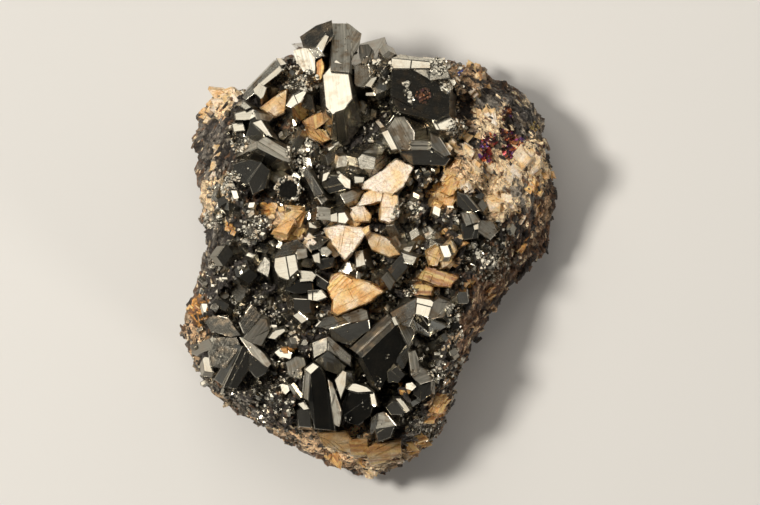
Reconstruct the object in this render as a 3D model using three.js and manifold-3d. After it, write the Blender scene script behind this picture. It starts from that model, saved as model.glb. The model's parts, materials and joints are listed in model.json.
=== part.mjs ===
// A hand-size tennantite specimen lying on its back: a block of siderite rock whose upper face is crowded
// with dark metallic tennantite crystals and tan siderite rhombs.
// Millimetres. +Z is up, the block rests on its flat underside at z = 0, and +Y runs to the crown of tall
// crystals.
import * as THREE from "three";
import { ConvexGeometry } from "three/addons/geometries/ConvexGeometry.js";
import { ImprovedNoise } from "three/addons/math/ImprovedNoise.js";
import { mergeVertices } from "three/addons/utils/BufferGeometryUtils.js";
import Module from "manifold-3d";

// ---------------------------------------------------------------- driving dimensions
const GIRTH_Z = 9; // height of the block's widest outline
const BASE_SHRINK = 0.84; // underside outline as a share of the widest one
const HEEL = { share: 0.95, z: 3.6 }; // outline where the underside's rounded edge ends, and its height
const CROWN_Z = 27.5; // height of the rock in the middle of the crystal face
const SEAT_GAP = 0.3; // clearance between a crystal and what it is seated in
const RIM_GAP_SCALE = 1.01; // sideways growth of the rock that gives the same clearance at its rim
const ROOT_Z = 20; // height to which the crystals are drawn before the rock is cut away
const SIDE_RINGS = 4; // from the widest outline up to the shoulder
const LUMPS = { coarse: 2.2, fine: 1.1 }; // depth of the rock's lumps and ledges
const LUMP_SIZE = { coarse: 8, fine: 3.6 }; // their width
const LEDGE_LEVEL = 0.25; // how much of the fine folds lies below the surface
const LOW_LUMPS = 0.4; // share of the lumps that is left near the underside

// Rings of the crystal face, from the shoulder in: share of the way to the middle, and points round the ring.
// Each ring has as many points as the one outside it, or half as many.
const FACE_RINGS = [[0, 52], [0.3, 26], [0.62, 13]];

// ---------------------------------------------------------------- outline of the block
// Stations round the block, clockwise from the crown: widest outline x, y, then shoulder x, y, z.
const STATIONS = [
  [-6.6, 44, -6.8, 41, 25.5],
  [-1.6, 41, -2, 38.4, 26],
  [3.4, 38.8, 3.4, 36, 26],
  [13, 38.2, 12.6, 34.4, 25],
  [19.8, 38.6, 18.6, 34.6, 24],
  [24.6, 34.6, 22.4, 31.2, 24.5],
  [31.8, 32.6, 27.8, 28.4, 24],
  [35, 25, 31, 23, 24.5],
  [36.6, 18.6, 32.8, 17.4, 25],
  [37.6, 11.2, 31, 12.8, 25],
  [36.8, 6.2, 26, 8.8, 26.2],
  [35.8, 0.2, 21.8, 2.4, 26.4],
  [32, -3, 19.8, -2, 26.4],
  [27.2, -8.6, 18.6, -7.2, 26.4],
  [23.2, -13.8, 17.6, -13.2, 26.2],
  [19.6, -20.6, 15.4, -18.8, 25.5],
  [16.8, -26.4, 12.6, -25.2, 24.5],
  [16.8, -31.2, 10.6, -30.4, 23.5],
  [13.2, -38.2, 7.2, -36, 22.5],
  [8, -42.8, 4.6, -39.8, 21],
  [0.6, -46.2, -0.8, -41.8, 20.5],
  [-7.2, -44, -7.8, -40, 21.5],
  [-15.4, -39, -14, -34.6, 24],
  [-25, -34.8, -21, -31.4, 24],
  [-30.8, -29, -27.2, -27.6, 23.5],
  [-35.6, -24, -32.2, -22.8, 22.5],
  [-37.6, -17, -34.2, -16.4, 22],
  [-37.2, -10.6, -33.8, -10, 22.5],
  [-33.8, -2.6, -32.2, -2, 23.5],
  [-33.4, 5, -31.4, 6, 23.5],
  [-35.4, 13.4, -30.6, 12.8, 23.5],
  [-37, 22, -29.8, 20, 24.5],
  [-34.4, 28.6, -28.2, 26, 25],
  [-30.6, 33, -26.4, 30, 25.5],
  [-26, 32.8, -23.6, 31.8, 26],
  [-21.4, 37.2, -19.4, 34.4, 26],
  [-13.4, 41.6, -12.6, 38.4, 26],
];

// Hollows in the crystal face: x, y, radius, depth.
const HOLLOWS = [
  [19, 28, 2.8, 6],
  [10.4, 26.6, 2.4, 3],
  [13.4, 4, 3.2, 3.5],
  [7, -5.8, 2.6, 3],
  [-15.4, -17, 2.6, 3],
  [-21.6, -27, 3.2, 3],
  [-6, -16.8, 2.4, 3],
  [12.4, -18.4, 3.2, 3.5],
  [-12.6, 30.2, 3, 3],
  [2, -25.6, 2.2, 3],
  [-29.4, -7.4, 2.4, 2.4],
  [-22.4, 6.8, 2.4, 2.4],
];

// ---------------------------------------------------------------- crystals
// Directions that crystal faces share in parallel growth: [azimuth from +X, lean from upright], in degrees.
const FLASH = [110, 18];
const FLASH_STEEP = [112, 26];
const PALE = [62, 20];
const GREY_EAST = [20, 25];
const SOUTH = [272, 14];
const DARK_WEST = [225, 30];
const DARK_EAST = [325, 30];

// A crystal is one row: [height of the first corner, azimuth and lean of its best-shown face, flare of its
// sides, then the face's corners as x, y pairs in order]. A side with flare 0 is plumb, and one with flare 30
// spreads by that angle on its way down. One flare serves all sides, or a list gives one for each edge, the
// first from corner one to corner two.
const TENNANTITE = {
  crown_group: [
    [37.6, ...FLASH, [2, 5, 20, 26, 20, 5, 2], -6.8, 38.2, -4.6, 36.6, -3.6, 30.4, -5.4, 28.4, -7.6, 27.4,
      -9, 28.8, -9.6, 35],
    [30.5, 92, 42, [-38, -20, 3, 3, 3, 3], -7.8, 45.6, -5, 45.6, -4.2, 43.2, -4.2, 35.6, -8, 36, -8, 40.4],
    [30.5, 60, 48, [-38, -34, -18, 3, 3, 3], -5, 45.6, -3.8, 45, -1.8, 43.4, -2.2, 41.2, -3.8, 38.4,
      -4.4, 40.4],
    [33, 125, 36, [-32, -36, 3, 3, 3, -16], -14.2, 42.8, -11, 45, -7.8, 46, -7.4, 43.2, -9.6, 40, -13, 39.8],
    [36.4, ...FLASH, 6, -11, 40.6, -9.2, 43.2, -8.4, 42.8, -9.6, 39.8],
    [35.4, ...FLASH, [-16, -4, 3, 3, 3, -4, -16], -15.4, 40.2, -13.6, 40.6, -12.4, 40.4, -11, 38.6, -11, 35.4,
      -13.4, 36, -14.6, 37.4],
    [36, 200, 20, 6, -12.6, 40.4, -10.6, 40.6, -9.2, 39, -10.8, 38.4],
    [34, ...FLASH, 22, -17, 29.2, -15.8, 31, -13.8, 32.2, -12.8, 31.8, -14, 29.8, -15.8, 28.6],
    [33.6, ...DARK_EAST, 6, -13.6, 32, -11.8, 31, -11.4, 28, -13.6, 28.8],
    [33, ...GREY_EAST, 18, -3.4, 37, 0.2, 38.6, 1, 36, -0.6, 32.6, -3, 33],
    [34, ...FLASH, 6, -1.4, 33, 0, 34.6, 1.2, 34.8, 0, 32.8],
    [32.6, ...FLASH, 3, -1, 31.8, 1.8, 32, 1.8, 31.2, -1, 31],
    [32, 60, 20, [-20, -10, 3, 3, 3], -2.4, 41.2, -0.6, 41.4, 0.6, 40, 0.2, 37.8, -1.8, 37.4],
  ],
  crown_block: [
    [35.2, 270, 14, [5, 5, 5, 10, 15, 10, 10, 5], 4.2, 37.2, 11.8, 37, 14, 34.4, 15.6, 32, 15.6, 27.6,
      13, 26.2, 5.8, 27.8, 4, 30.8],
    [34.8, 92, 18, [-3, 3, 3, 3], 4, 38.6, 11.8, 37.8, 11.8, 36.4, 4, 36.4],
    [34.6, 45, 20, 3, 11.8, 38, 14.4, 37.2, 15.8, 32.2, 14, 33.6, 11, 36],
    [34.4, 90, 25, [-6, -6, 0, 3, 3], 4, 38.6, 5.8, 39.2, 14.6, 38.2, 15.8, 34.6, 12, 34],
    [31, ...FLASH, [8, 8, 25, 32, 20], 12.2, 26, 15.6, 27.2, 16.8, 26, 15.6, 24.2, 13, 24.4],
  ],
  ridge_group: [
    [26.2, 135, 40, 3, -26, 31.2, -19.2, 38.2, -17.4, 38.4, -17, 37.6, -21.8, 32.8, -25, 30.2],
    [31, ...FLASH, [-8, 3, 6, 8, 6], -22.4, 33.2, -18, 37.4, -17, 37, -19.2, 34.8, -21.4, 33],
    [31, ...FLASH, [-24, -12, 6, -12], -19, 38.6, -17.8, 38.6, -16.6, 37.4, -18, 37],
    [31.4, ...FLASH, [-4, 8, 12, 12, 10, 2], -23.4, 32.4, -22.2, 33.6, -20.8, 32.8, -21.4, 31, -22, 30.4,
      -23, 31.4],
  ],
  upper_left_group: [
    [31, ...FLASH, 6, -27.2, 27.6, -23.8, 28.6, -21.8, 27.6, -24.2, 26.4, -27, 26.2],
    [31.4, ...FLASH_STEEP, 6, -26.2, 29.2, -25.2, 29.8, -23.6, 28.8, -25, 28.2],
    [30, ...FLASH, 6, -27.6, 25.6, -25.6, 26, -25.2, 24.2, -27.2, 24],
    [31.8, 60, 30, 6, -23.4, 28, -19, 27.2, -20.2, 26, -22.8, 26.4],
    [32.4, ...FLASH, [3, 6, 3, 10], -23.4, 25.8, -21.8, 26.4, -19.6, 23, -21, 23.4],
    [31.6, ...DARK_WEST, 6, -23.6, 27.8, -22.6, 26, -21.4, 23.6, -23.8, 22, -25, 22.8],
    [34, ...PALE, [18, 6, 6, 14, 22, 24], -22.6, 22, -21, 23, -16, 20, -16.2, 18, -17.4, 18.2, -22.6, 20.8],
    [30.2, ...DARK_WEST, 6, -24.2, 18.4, -21.8, 17.8, -24.2, 13.4, -27, 14.4, -27.6, 17.4],
    [31, 330, 20, 6, -21.8, 17.8, -20.2, 16.4, -21, 12.8, -23.6, 11.6, -24.4, 14],
  ],
  rimmed_crystal: [
    [31.8, 60, 8, 6, -18.6, 13.8, -17.2, 14.8, -15.4, 14.4, -14.2, 12.8, -14.6, 10.6, -17, 10.4, -18.4, 11.8],
  ],
  middle_group: [
    [32, ...FLASH, 3, -6, 15.6, -4.2, 14.2, -4, 12.6, -5.2, 12.8, -6.8, 14.8],
    [32, 250, 18, 6, -9.8, 15.4, -6.4, 15, -5, 12.4, -8.2, 11.6, -9.8, 13.2],
    [32.4, ...FLASH, 6, -9.6, 15.6, -8, 16.2, -8.8, 14.4, -9.8, 14],
    [32.4, 40, 18, 20, -6.2, 11.4, -3.8, 12.4, -2.6, 11.8, -3, 10.4, -5.2, 9.6],
    [32.4, ...FLASH, 14, -3.4, 15, -1.4, 14.8, -1.6, 13.8, -3.2, 13.6],
    [32, ...PALE, 15, -11.8, 12.4, -10.8, 12.8, -8.6, 10.4, -9.8, 9.4],
    [32, 140, 30, 6, -13.8, 16.2, -12.6, 16.6, -9.6, 11.6, -11.2, 11],
    [31.4, 60, 14, 14, -10.6, 9, -8, 8.8, -8, 6.4, -10.8, 6.4],
    [31.4, ...FLASH, 14, -8, 7.4, -6.8, 7.8, -6.6, 6.2, -8, 6],
    [31.8, ...FLASH, 14, -6.6, 7.8, -5.2, 8, -4.4, 6.6, -5.2, 5.6, -6.6, 5.8],
  ],
  broad_twin: [
    [33, 35, 24, [6, 6, 30, 30, 6, 6], 3.2, 24.4, 4.8, 26.8, 6.6, 27, 8.6, 23.8, 8.4, 20.4, 5.2, 20.4],
    [34, ...FLASH, 6, 2, 23.8, 3.4, 24.4, 5.4, 20.4, 4, 20.2],
    [32.6, 40, 14, 6, 8, 22.2, 12.2, 22, 11.8, 20.2, 8, 20.2],
    [32.4, 275, 24, 6, 5, 20.6, 12, 20.4, 15.8, 18.6, 14.8, 17.2, 8, 17.4],
    [32, 60, 34, 6, 11.8, 23.6, 13.4, 23, 15.8, 19.4, 14.6, 19, 12, 20.8],
    [33.6, ...FLASH_STEEP, 20, -2.8, 18.6, -1.8, 19.6, 1, 18.8, 0.6, 16.6, -1.8, 16.4],
    [33, 45, 30, 6, -1.8, 19.8, 0.8, 21.2, 3, 20.6, 1.4, 18.6],
  ],
  right_group: [
    [29.6, 230, 20, 6, 17.2, 12, 19, 11.4, 21.6, 8.2, 19.4, 7.8, 17.2, 9.2],
    [29.6, 90, 30, 6, 18, 7.8, 20.6, 7.8, 21.8, 6, 19, 5.2],
    [29.4, 10, 20, 6, 21, 6.2, 24.2, 6.2, 25.2, 4, 23.8, 2.4, 21.4, 4],
    [29.6, 250, 20, 6, 18, 5.8, 21.6, 5.4, 21.2, 2.8, 18.4, 2.4],
    [30, ...FLASH, 6, 20.2, 6.2, 21.4, 6.2, 21.4, 4.6, 20.6, 4.4],
  ],
  great_prism_group: [
    [34.2, 132, 35, 3, -1.8, -21, 5.4, -14.2, 3.4, -12.2, -4.2, -19.2],
    [34.2, 315, 25, 3, -1.8, -21, 5.2, -14.4, 7.6, -19.2, 1.4, -27.6],
    [35, 35, 46, 3, 5.2, -14.2, 6.8, -13.2, 8.8, -16, 7.6, -19],
    [35, ...FLASH, 3, 4, -13.2, 4.8, -12.8, 5.6, -14.4, 4.6, -14.6],
    [33.4, 230, 50, 3, -1.8, -20.8, -2.6, -21.4, 0.6, -28.2, 1.4, -27.6],
    [35, ...FLASH, [6, 6, 6, 20, 20], 9.2, -9, 11.6, -9.4, 12.4, -10, 11.4, -13.2, 8.8, -12.2],
    [34.8, ...GREY_EAST, 6, 12.4, -10, 13.4, -9.2, 15.4, -10, 15.8, -11.2, 14.4, -13, 11.4, -13.2],
    [34.8, 150, 36, 3, 9.2, -9, 8.8, -12.2, 7.6, -15, 5, -14.2, 3.8, -12],
    [33.6, 282, 42, 3, 8.8, -12.2, 11.4, -13.2, 14.4, -13, 14.8, -15, 11.8, -16.8, 7.8, -15.4],
    [32.6, 300, 30, 6, 7.2, -18.8, 8.2, -20, 6.6, -23.2, 4.8, -23.6, 5.2, -21],
    [32.6, 60, 26, 3, 7.4, -20, 8.6, -19.6, 9.4, -21.6, 9.8, -24, 8, -24.6],
    [31.6, ...GREY_EAST, 3, 9.4, -22.8, 12.2, -24, 12.4, -25.6, 9.8, -26.4, 8.2, -24.6],
    [30.4, 270, 15, 6, 9.8, -25.8, 12, -25.8, 12, -28.2, 10.2, -29.6, 8.4, -28.4, 8.6, -26.4],
    [30.8, ...FLASH, 3, 7, -26.2, 8.2, -26, 9, -26.8, 8.2, -27.6, 7, -27.2],
    [31.6, 240, 22, 6, 3.2, -24, 5, -22.8, 6.8, -24.4, 5.4, -26, 3.4, -25.8],
  ],
  middle_prism: [
    [33.4, 30, 22, 3, -4.2, -14.2, -6, -12.6, -2, -11.2, -0.8, -11.6, -0.4, -13.6],
    [33.4, 270, 30, 3, -4.2, -14.4, -0.4, -13.4, 0, -16.4, -3.2, -18.6, -7.6, -17.6, -8.2, -15.6],
    [33.2, 120, 34, 3, -4.2, -14.2, -8.2, -15.4, -11, -14.8, -9.2, -13, -6, -12.4],
  ],
  three_faced_crystal: [
    [34.6, 150, 22, 3, -8.6, -19.6, -8.6, -16.8, -11.8, -18, -11.4, -21.2],
    [34.6, 20, 25, 3, -8.6, -19.6, -8.6, -16.8, -4.2, -20.4, -4, -22.6],
    [34.6, 275, 33, 3, -8.6, -19.6, -5, -22.8, -6.4, -24.4, -9.2, -23.4, -11.2, -21.6],
  ],
  tall_prism: [
    [36, 275, 22, 3, -10.2, -23, -8.4, -25.6, -7.8, -30.6, -6.6, -35.6, -11.2, -35.2, -12.4, -29.6,
      -12, -24.4],
    [36, ...FLASH, 3, -12, -24.4, -13.2, -23.4, -11.4, -22, -10.2, -22.8],
    [35.6, 180, 46, 3, -12, -24.4, -13.2, -23.6, -13.6, -29, -12.4, -29.6],
    [34.8, 60, 24, [3, 3, 3, -10, 3], -8.6, -25.4, -7.6, -26.2, -6, -31.6, -6.2, -34.6, -7.2, -34.2],
    [31, ...SOUTH, 6, -14.6, -31.6, -13.4, -31, -12.2, -31.6, -12, -35, -14.2, -34.8],
    [31.2, ...FLASH, 6, -14.4, -30.2, -13.2, -29.8, -12.2, -31.2, -13.4, -31.4],
  ],
  lower_block: [
    [33.6, ...FLASH, 3, -5, -27.4, -3.8, -26.2, -0.8, -26.8, 0.4, -27.8, -2.6, -28],
    [33.6, 270, 12, 3, -4.6, -27.6, -0.6, -27.8, 0.4, -30, -0.2, -32.6, -2.6, -34.4, -5.2, -33.6, -6, -30.4],
    [33.4, ...FLASH_STEEP, 3, -0.4, -27.6, 0.6, -28, 1.2, -30.6, 0.2, -30.4],
    [35, ...FLASH, 3, -7, -25.4, -5.6, -23.6, -4.8, -24, -5, -26.6, -6, -29.2, -6.6, -27.6],
    [34.6, 330, 45, 3, -5.2, -23.8, -3.8, -24, -3.2, -26.4, -5, -27.6],
  ],
  lower_kite_crystal: [
    [31.4, 75, 24, 3, 1, -35.2, 1, -32.2, 2.6, -31.8, 5, -34.6],
    [31.4, 300, 20, 3, 1, -35.2, 4.8, -34.6, 3.8, -37, 1.4, -37.8],
    [31.2, 190, 40, 3, 1.2, -35.2, 1.2, -32.2, 0, -33, 0, -36.4],
  ],
  lower_right_crystal: [
    [31, 240, 18, 6, 3, -30.8, 4.4, -29.6, 5.8, -30, 7.2, -31.6, 6.2, -32.4, 4.2, -32.4],
    [31.6, ...FLASH_STEEP, 3, 4.8, -29.2, 5.8, -29.2, 7.8, -31.4, 7, -32],
  ],
  crossed_twin: [
    [30.8, 170, 22, 3, -26, -18.4, -27, -16.8, -31, -17.2, -32.4, -20, -31.8, -22.8, -29, -23.2],
    [31.4, 228, 40, 3, -25.6, -18.8, -27, -18.2, -31.4, -25.4, -29.4, -26.8],
    [31.4, 330, 18, 3, -25.6, -18.8, -22.8, -20, -23.8, -22.8, -27, -27.2, -29.4, -26.8],
    [31.2, 300, 15, 6, -24.2, -20, -21.8, -20.2, -20.2, -22, -21, -24.2, -22.8, -25.2, -24.4, -23.4],
    [32, 60, 16, 3, -26.2, -17, -24.8, -17.2, -21.2, -20.2, -19.8, -22.2, -20.6, -23, -23.8, -20.4],
    [32.2, 20, 15, 6, -25.4, -17, -22.2, -13, -20.8, -13.4, -20.2, -15.8, -21.8, -18.8, -24.2, -18],
    [32, 140, 28, 3, -25, -16.8, -21.8, -12.6, -23.8, -10.6, -26.2, -14],
    [31, 100, 26, 3, -25.8, -16.6, -28.6, -13.2, -31.6, -12.6, -33, -14, -31.8, -15.8, -27.8, -17],
  ],
  bright_sliver: [[31.8, ...FLASH, 6, -20.4, -17, -19.4, -15.6, -17.4, -15.2, -17, -15.8, -19, -17.4]],
  grey_group: [
    [31.8, ...FLASH, 6, -19.2, -20, -18.2, -19.2, -15.8, -20.2, -16, -21.2, -17.8, -21],
    [31.8, 40, 15, 6, -17, -22, -15, -20.8, -13.4, -21.2, -12.8, -22.6, -14, -25.4, -16.2, -24.8],
  ],
  centre_left_group: [
    [33.8, ...FLASH, [4, 8, 20, 20, 12, 8], -19.2, -1.2, -15, -0.4, -14.4, -3.6, -16.6, -5.6, -18.2, -5,
      -19, -3.6],
    [33.8, 80, 40, 3, -19.2, -1.2, -17.6, 1.4, -14.6, 2.4, -12.8, 1, -15, -0.4],
    [33.8, ...PALE, 3, -15, -0.2, -14.6, 0.6, -12.8, 0.8, -12.6, -1, -14.6, -1.4],
    [32, ...FLASH_STEEP, 6, -22.6, -3.6, -21.2, -1, -20.2, -2, -20.4, -5],
    [32.8, ...FLASH_STEEP, 3, -14.4, -3.8, -11.8, -3.8, -11, -4.6, -11.8, -5.8, -14.2, -6],
    [32.4, 275, 22, 3, -14.2, -5.6, -11.6, -6.2, -11.4, -7.6, -15, -8.4, -17, -7.6, -16.6, -5.8],
    [31.6, ...SOUTH, 14, -15.4, -9.2, -12.2, -9.4, -12, -12, -13.8, -12.6, -15.4, -11.2],
    [31.6, ...FLASH_STEEP, 3, -12.6, -7.8, -9.8, -7.6, -8.6, -9, -10.6, -9.8, -12.6, -9.4],
    [31.6, 205, 30, 3, -11.2, -4.2, -7.6, -6.6, -7.6, -8, -10.8, -6.8],
    [31.8, ...FLASH, 16, -15.4, -12.6, -14.4, -12, -12.6, -13.4, -13.8, -14.2],
  ],
  dark_dodecahedron: [
    [33.6, 100, 44, 3, -10.2, 0.8, -12, 0.4, -12.6, 2.4, -10.2, 3.2, -8.2, 2.6],
    [33.4, 30, 40, 3, -8.8, 1, -8.2, 2.6, -5.8, -0.4, -7.4, -1.2],
    [33.6, ...FLASH_STEEP, 3, -10.2, 0.8, -8.8, 1.2, -7.6, 0, -8.6, -1, -10, -0.6],
    [33.6, ...FLASH, 3, -10.2, 0, -11.8, -0.6, -11.4, -2, -10, -2.4],
    [33.2, 272, 26, 3, -11.4, -1.8, -7.4, -1, -7.6, -3, -9.8, -3.6],
  ],
  centre_right_group: [
    [31.6, ...GREY_EAST, 14, 2, -5.2, 3.4, -3.8, 5, -5.6, 3.8, -7.8],
    [32, ...FLASH_STEEP, 8, 6, 0, 9.2, -1, 8.4, -2.6, 6.4, -2.2],
    [31.4, 250, 30, 3, 3.4, -3.6, 6, -0.6, 7.4, -3, 5, -5.8],
  ],
  small_bright_block: [[32.6, ...FLASH, [4, 14, 12, 4], -3.2, 0, -1.6, 0.4, -1, -2.6, -3, -3.2]],
};

// Siderite rhombs, in the same columns.
const SIDERITE = {
  siderite_amber_grain: [[37, ...FLASH, 3, -10.6, 37.6, -9.8, 38.4, -9.4, 36.6, -10, 34.4, -10.8, 34.4]],
  siderite_wedge: [
    [32.4, 140, 20, 3, -21.6, 28.8, -18.2, 31.4, -16.8, 32, -17, 29.4, -17.4, 28, -19.2, 27.2],
  ],
  siderite_amber_pair: [
    [32.4, 110, 20, 3, -13.6, 26.4, -11.6, 27, -9.8, 28.2, -9.4, 25.6, -11, 24.4, -12.8, 25.2],
    [32.4, 240, 15, 3, -12.8, 25.4, -10.6, 24.6, -9, 24.2, -8.2, 22.4, -9.8, 21.8, -12.2, 23.2],
  ],
  siderite_fan: [
    [33.4, 120, 12, 3, -1.2, 13.8, 3.2, 16.8, 5.2, 18.2, 8.2, 16.8, 6.4, 13.4, 4.4, 11.6, 1.4, 12.2, -1.4, 12.8],
    [33.4, ...FLASH, 3, -2.4, 9.4, -1.4, 11.2, 0.4, 12.6, 2.4, 12.2, 2, 10.2],
    [32.8, 100, 14, 3, 2.2, 11.8, 5.2, 11.2, 5.4, 8.4, 4.4, 6.6, 3.4, 6, 2, 6.6],
  ],
  siderite_kite: [[33.8, 120, 14, 3, -9.8, 4.2, -6.6, 5.2, -0.8, 4.4, -3.4, 0.6, -5.8, -2, -7.4, 1.4]],
  siderite_pink_block: [[31.8, 100, 20, 3, -3.8, 8.8, -1.8, 9.2, -0.2, 7.6, -0.4, 6.2, -3.2, 6.2]],
  siderite_long_ridge: [[32.2, 70, 14, 3, -2.6, 6, -0.2, 6, 2.8, 2.8, 6.2, 1.6, 7.2, -0.2, 3.8, -0.8, 0.2, 0.8]],
  siderite_saddle: [
    [33.8, 160, 22, 3, -8.6, -7.2, -7.4, -4.8, -5.8, -4.4, -3.6, -5.6, -5.6, -8, -7.6, -9.4],
    [35, 80, 12, 3, -3.6, -5.4, -0.2, -6.4, 2.2, -7.8, -0.2, -9.6, -3.8, -11.2, -6.6, -12.4, -7.6, -11.8,
      -7.4, -9.4],
  ],
  siderite_right_rhomb: [[32, 120, 14, 3, 9, -6.2, 11, -3.2, 13, -3.6, 17, -5, 15.4, -7.4, 13.2, -6.6]],
  siderite_right_chip: [[31.8, 100, 12, 6, 8.6, -7, 10.2, -6.4, 12, -7, 12, -8.4, 8.8, -8.4]],
  siderite_right_pair: [
    [31.2, 120, 16, 6, 11.4, 0, 13, 1, 14.4, 0.4, 13.2, -2.6, 11.8, -2.6],
    [31.4, 110, 18, 6, 14, 0.4, 15.8, 2.2, 16.8, 0.2, 15.6, -2, 14.2, -3],
  ],
  siderite_bottom_blocks: [
    [25, 270, 28, 3, -10.6, -36.2, -5.2, -35.8, -3.8, -37.6, -4.2, -40, -9.2, -38.8],
    [24.4, 280, 26, 3, -4.4, -37.6, -0.8, -37.4, -0.8, -40.6, -4, -40.6],
    [24, 285, 30, 3, -1, -39.6, 0.8, -38.2, 5.8, -37.8, 6, -40, 2.8, -42, 0, -42.6],
  ],
};

// Small crystals and ledges fused to the rock that they grow from, in the same columns.
const FUSED = [
  [29, ...FLASH, 18, -27.8, 11.8, -26, 11.4, -26.2, 9.6, -27.8, 10.6],
  [29.4, ...FLASH, 18, -24.8, 9.8, -23.6, 10, -23, 9.2, -24.2, 8.4],
  [29.2, 200, 20, 6, -26.2, 10, -24.8, 10.4, -25.2, 8, -26.2, 8.4],
  [28.4, 120, 20, 6, -29.6, 5.6, -28, 6.4, -26.2, 5.2, -26.2, 3.2, -28.6, 2.8],
  [29.4, 250, 22, 6, -28.6, -2.4, -24.6, -1.6, -22.8, -3.6, -24.4, -6.4, -27.6, -5.6],
  [30.2, 100, 24, 6, -25.6, 5.8, -22, 7.8, -19.4, 5, -21.6, 2, -24, 0.6],
  [29, ...FLASH, 16, -30.2, -5.4, -28.6, -5, -28.2, -7, -30, -7.4],
  [31, ...FLASH_STEEP, 14, -21, -6.8, -19.2, -6.4, -19, -7.4, -20.6, -8],
  [27.6, ...FLASH, 14, -33.8, -12, -32.8, -10.6, -32, -11.4, -32.6, -12.4],
  [29, ...SOUTH, 14, -32, -10.2, -28.8, -10.2, -28.4, -12, -31.4, -12.4],
  [31, 140, 20, 14, -17, -17.2, -14.2, -17.2, -12.2, -18.8, -13, -20.4, -16, -18.6],
  [29.8, 160, 22, 3, -17.2, -30, -14.8, -28, -14.4, -29.2, -16.2, -33.2, -17, -34.6],
  [31.4, 60, 20, 3, 5.2, -26.4, 6.4, -26.4, 8.2, -29.4, 7.4, -30, 6.2, -28.8],
  [31.2, 40, 30, 3, 4.6, -7.6, 5.2, -6.6, 7, -9.2, 5.8, -9.8],
  [26, 330, 42, 6, 10.2, -29.8, 13.6, -29.4, 14.6, -31.6, 12.6, -34, 9.8, -33.2],
  [27.6, ...FLASH, 18, 21.8, 29.8, 26.4, 28.8, 25.8, 22.8, 22.2, 24.4],
  [27.4, 60, 10, 16, 28.2, 22.2, 33.6, 21.4, 33.4, 16.8, 29.8, 17.4],
  [29.4, 20, 10, 16, 14.8, 21, 21.8, 20.4, 21.4, 13, 16.8, 11.6, 15.4, 14],
  [30.4, ...FLASH, 6, 17.6, 14, 19, 14.6, 20.2, 13.2, 19.8, 11.8, 18.2, 12],
  [27.4, 60, 12, [-16, -14, -6, 10, 14, 6], 16.6, 36, 18.8, 37, 21.4, 36.6, 22.6, 34.4, 21, 31.6, 17.8, 31],
  [30, ...FLASH, 16, 15.8, 32.8, 16.4, 34, 17.8, 33.8, 18.2, 33, 17, 32.4],
  [31.4, ...FLASH, [-14, -8, 8, 12, 8], 1, 40.2, 2.6, 40.8, 3.8, 39, 3.6, 32.8, 2.2, 32.8],
  [31, ...FLASH, 20, 13.8, 7.8, 15.2, 8, 16.2, 6.6, 15.2, 5.6, 13.8, 6.2],
  [30.4, ...FLASH, 14, 16.4, -2, 17.6, -0.8, 18.4, -1.6, 17, -3],
  [30.2, ...SOUTH, 14, 16.8, 3, 18.4, 2.6, 18.2, 0.8, 17, 1.2],
  [29, 110, 30, 6, 17.4, -5.6, 18.6, -4.6, 19.4, -6, 18.6, -7.6, 17.4, -6.8],
  [32, 300, 24, 6, 8.8, 15.4, 11.6, 16.4, 12.2, 13.6, 9.4, 12.4],
  [31, 120, 22, 14, 7, 9.8, 9.4, 11.2, 11.4, 9, 9.4, 6.4],
  [29.4, 80, 16, 14, -19, 8.2, -15.4, 9, -14, 5.4, -17.4, 3.6],
  [28.4, 100, 16, 6, 20.4, -1, 23, 0.2, 24.6, -3, 21.6, -4.4],
  [27.8, 250, 20, 6, 23.6, 9.8, 27, 10.4, 28.2, 7.2, 24.8, 6.4],
  [30, 240, 24, 14, 13, -22.4, 14.6, -20.4, 15, -23.4, 13.6, -24.6],
  [28.6, ...DARK_EAST, 6, -20, -28.4, -17.8, -27, -16.2, -29, -18.4, -31.2],
  [27.6, ...DARK_WEST, 6, -26.4, -28.2, -24, -27, -22.6, -29, -25, -30.6],
];

// ---------------------------------------------------------------- solids
const wasm = await Module();
wasm.setup();
const radians = THREE.MathUtils.degToRad;
const WELD = 1e-4; // points closer than this are one

function solidFrom(geometry) {
  for (const name of Object.keys(geometry.attributes)) {
    if (name !== "position") geometry.deleteAttribute(name);
  }
  const merged = mergeVertices(geometry, WELD);
  return new wasm.Manifold(
    new wasm.Mesh({
      numProp: 3,
      vertProperties: merged.attributes.position.array,
      triVerts: new Uint32Array(merged.index.array),
    }),
  );
}

function geometryFrom(solid) {
  const mesh = solid.getMesh();
  const points = new Float32Array(mesh.numVert * 3);
  for (let i = 0; i < mesh.numVert; i++) {
    points.set(mesh.vertProperties.subarray(i * mesh.numProp, i * mesh.numProp + 3), i * 3);
  }
  return new THREE.BufferGeometry()
    .setAttribute("position", new THREE.BufferAttribute(points, 3))
    .setIndex(new THREE.BufferAttribute(mesh.triVerts, 1));
}

function largestBody(solid) {
  return solid.decompose().sort((a, b) => b.volume() - a.volume())[0];
}

// ---------------------------------------------------------------- crystal shapes
const PARALLEL = 1e-4; // three planes that hold a smaller volume between their normals meet in no one point
const ON_PLANE = 1e-4; // distance at which a point still counts as lying on a plane
const SAME_CORNER = 0.01; // corners closer than this are one

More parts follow.
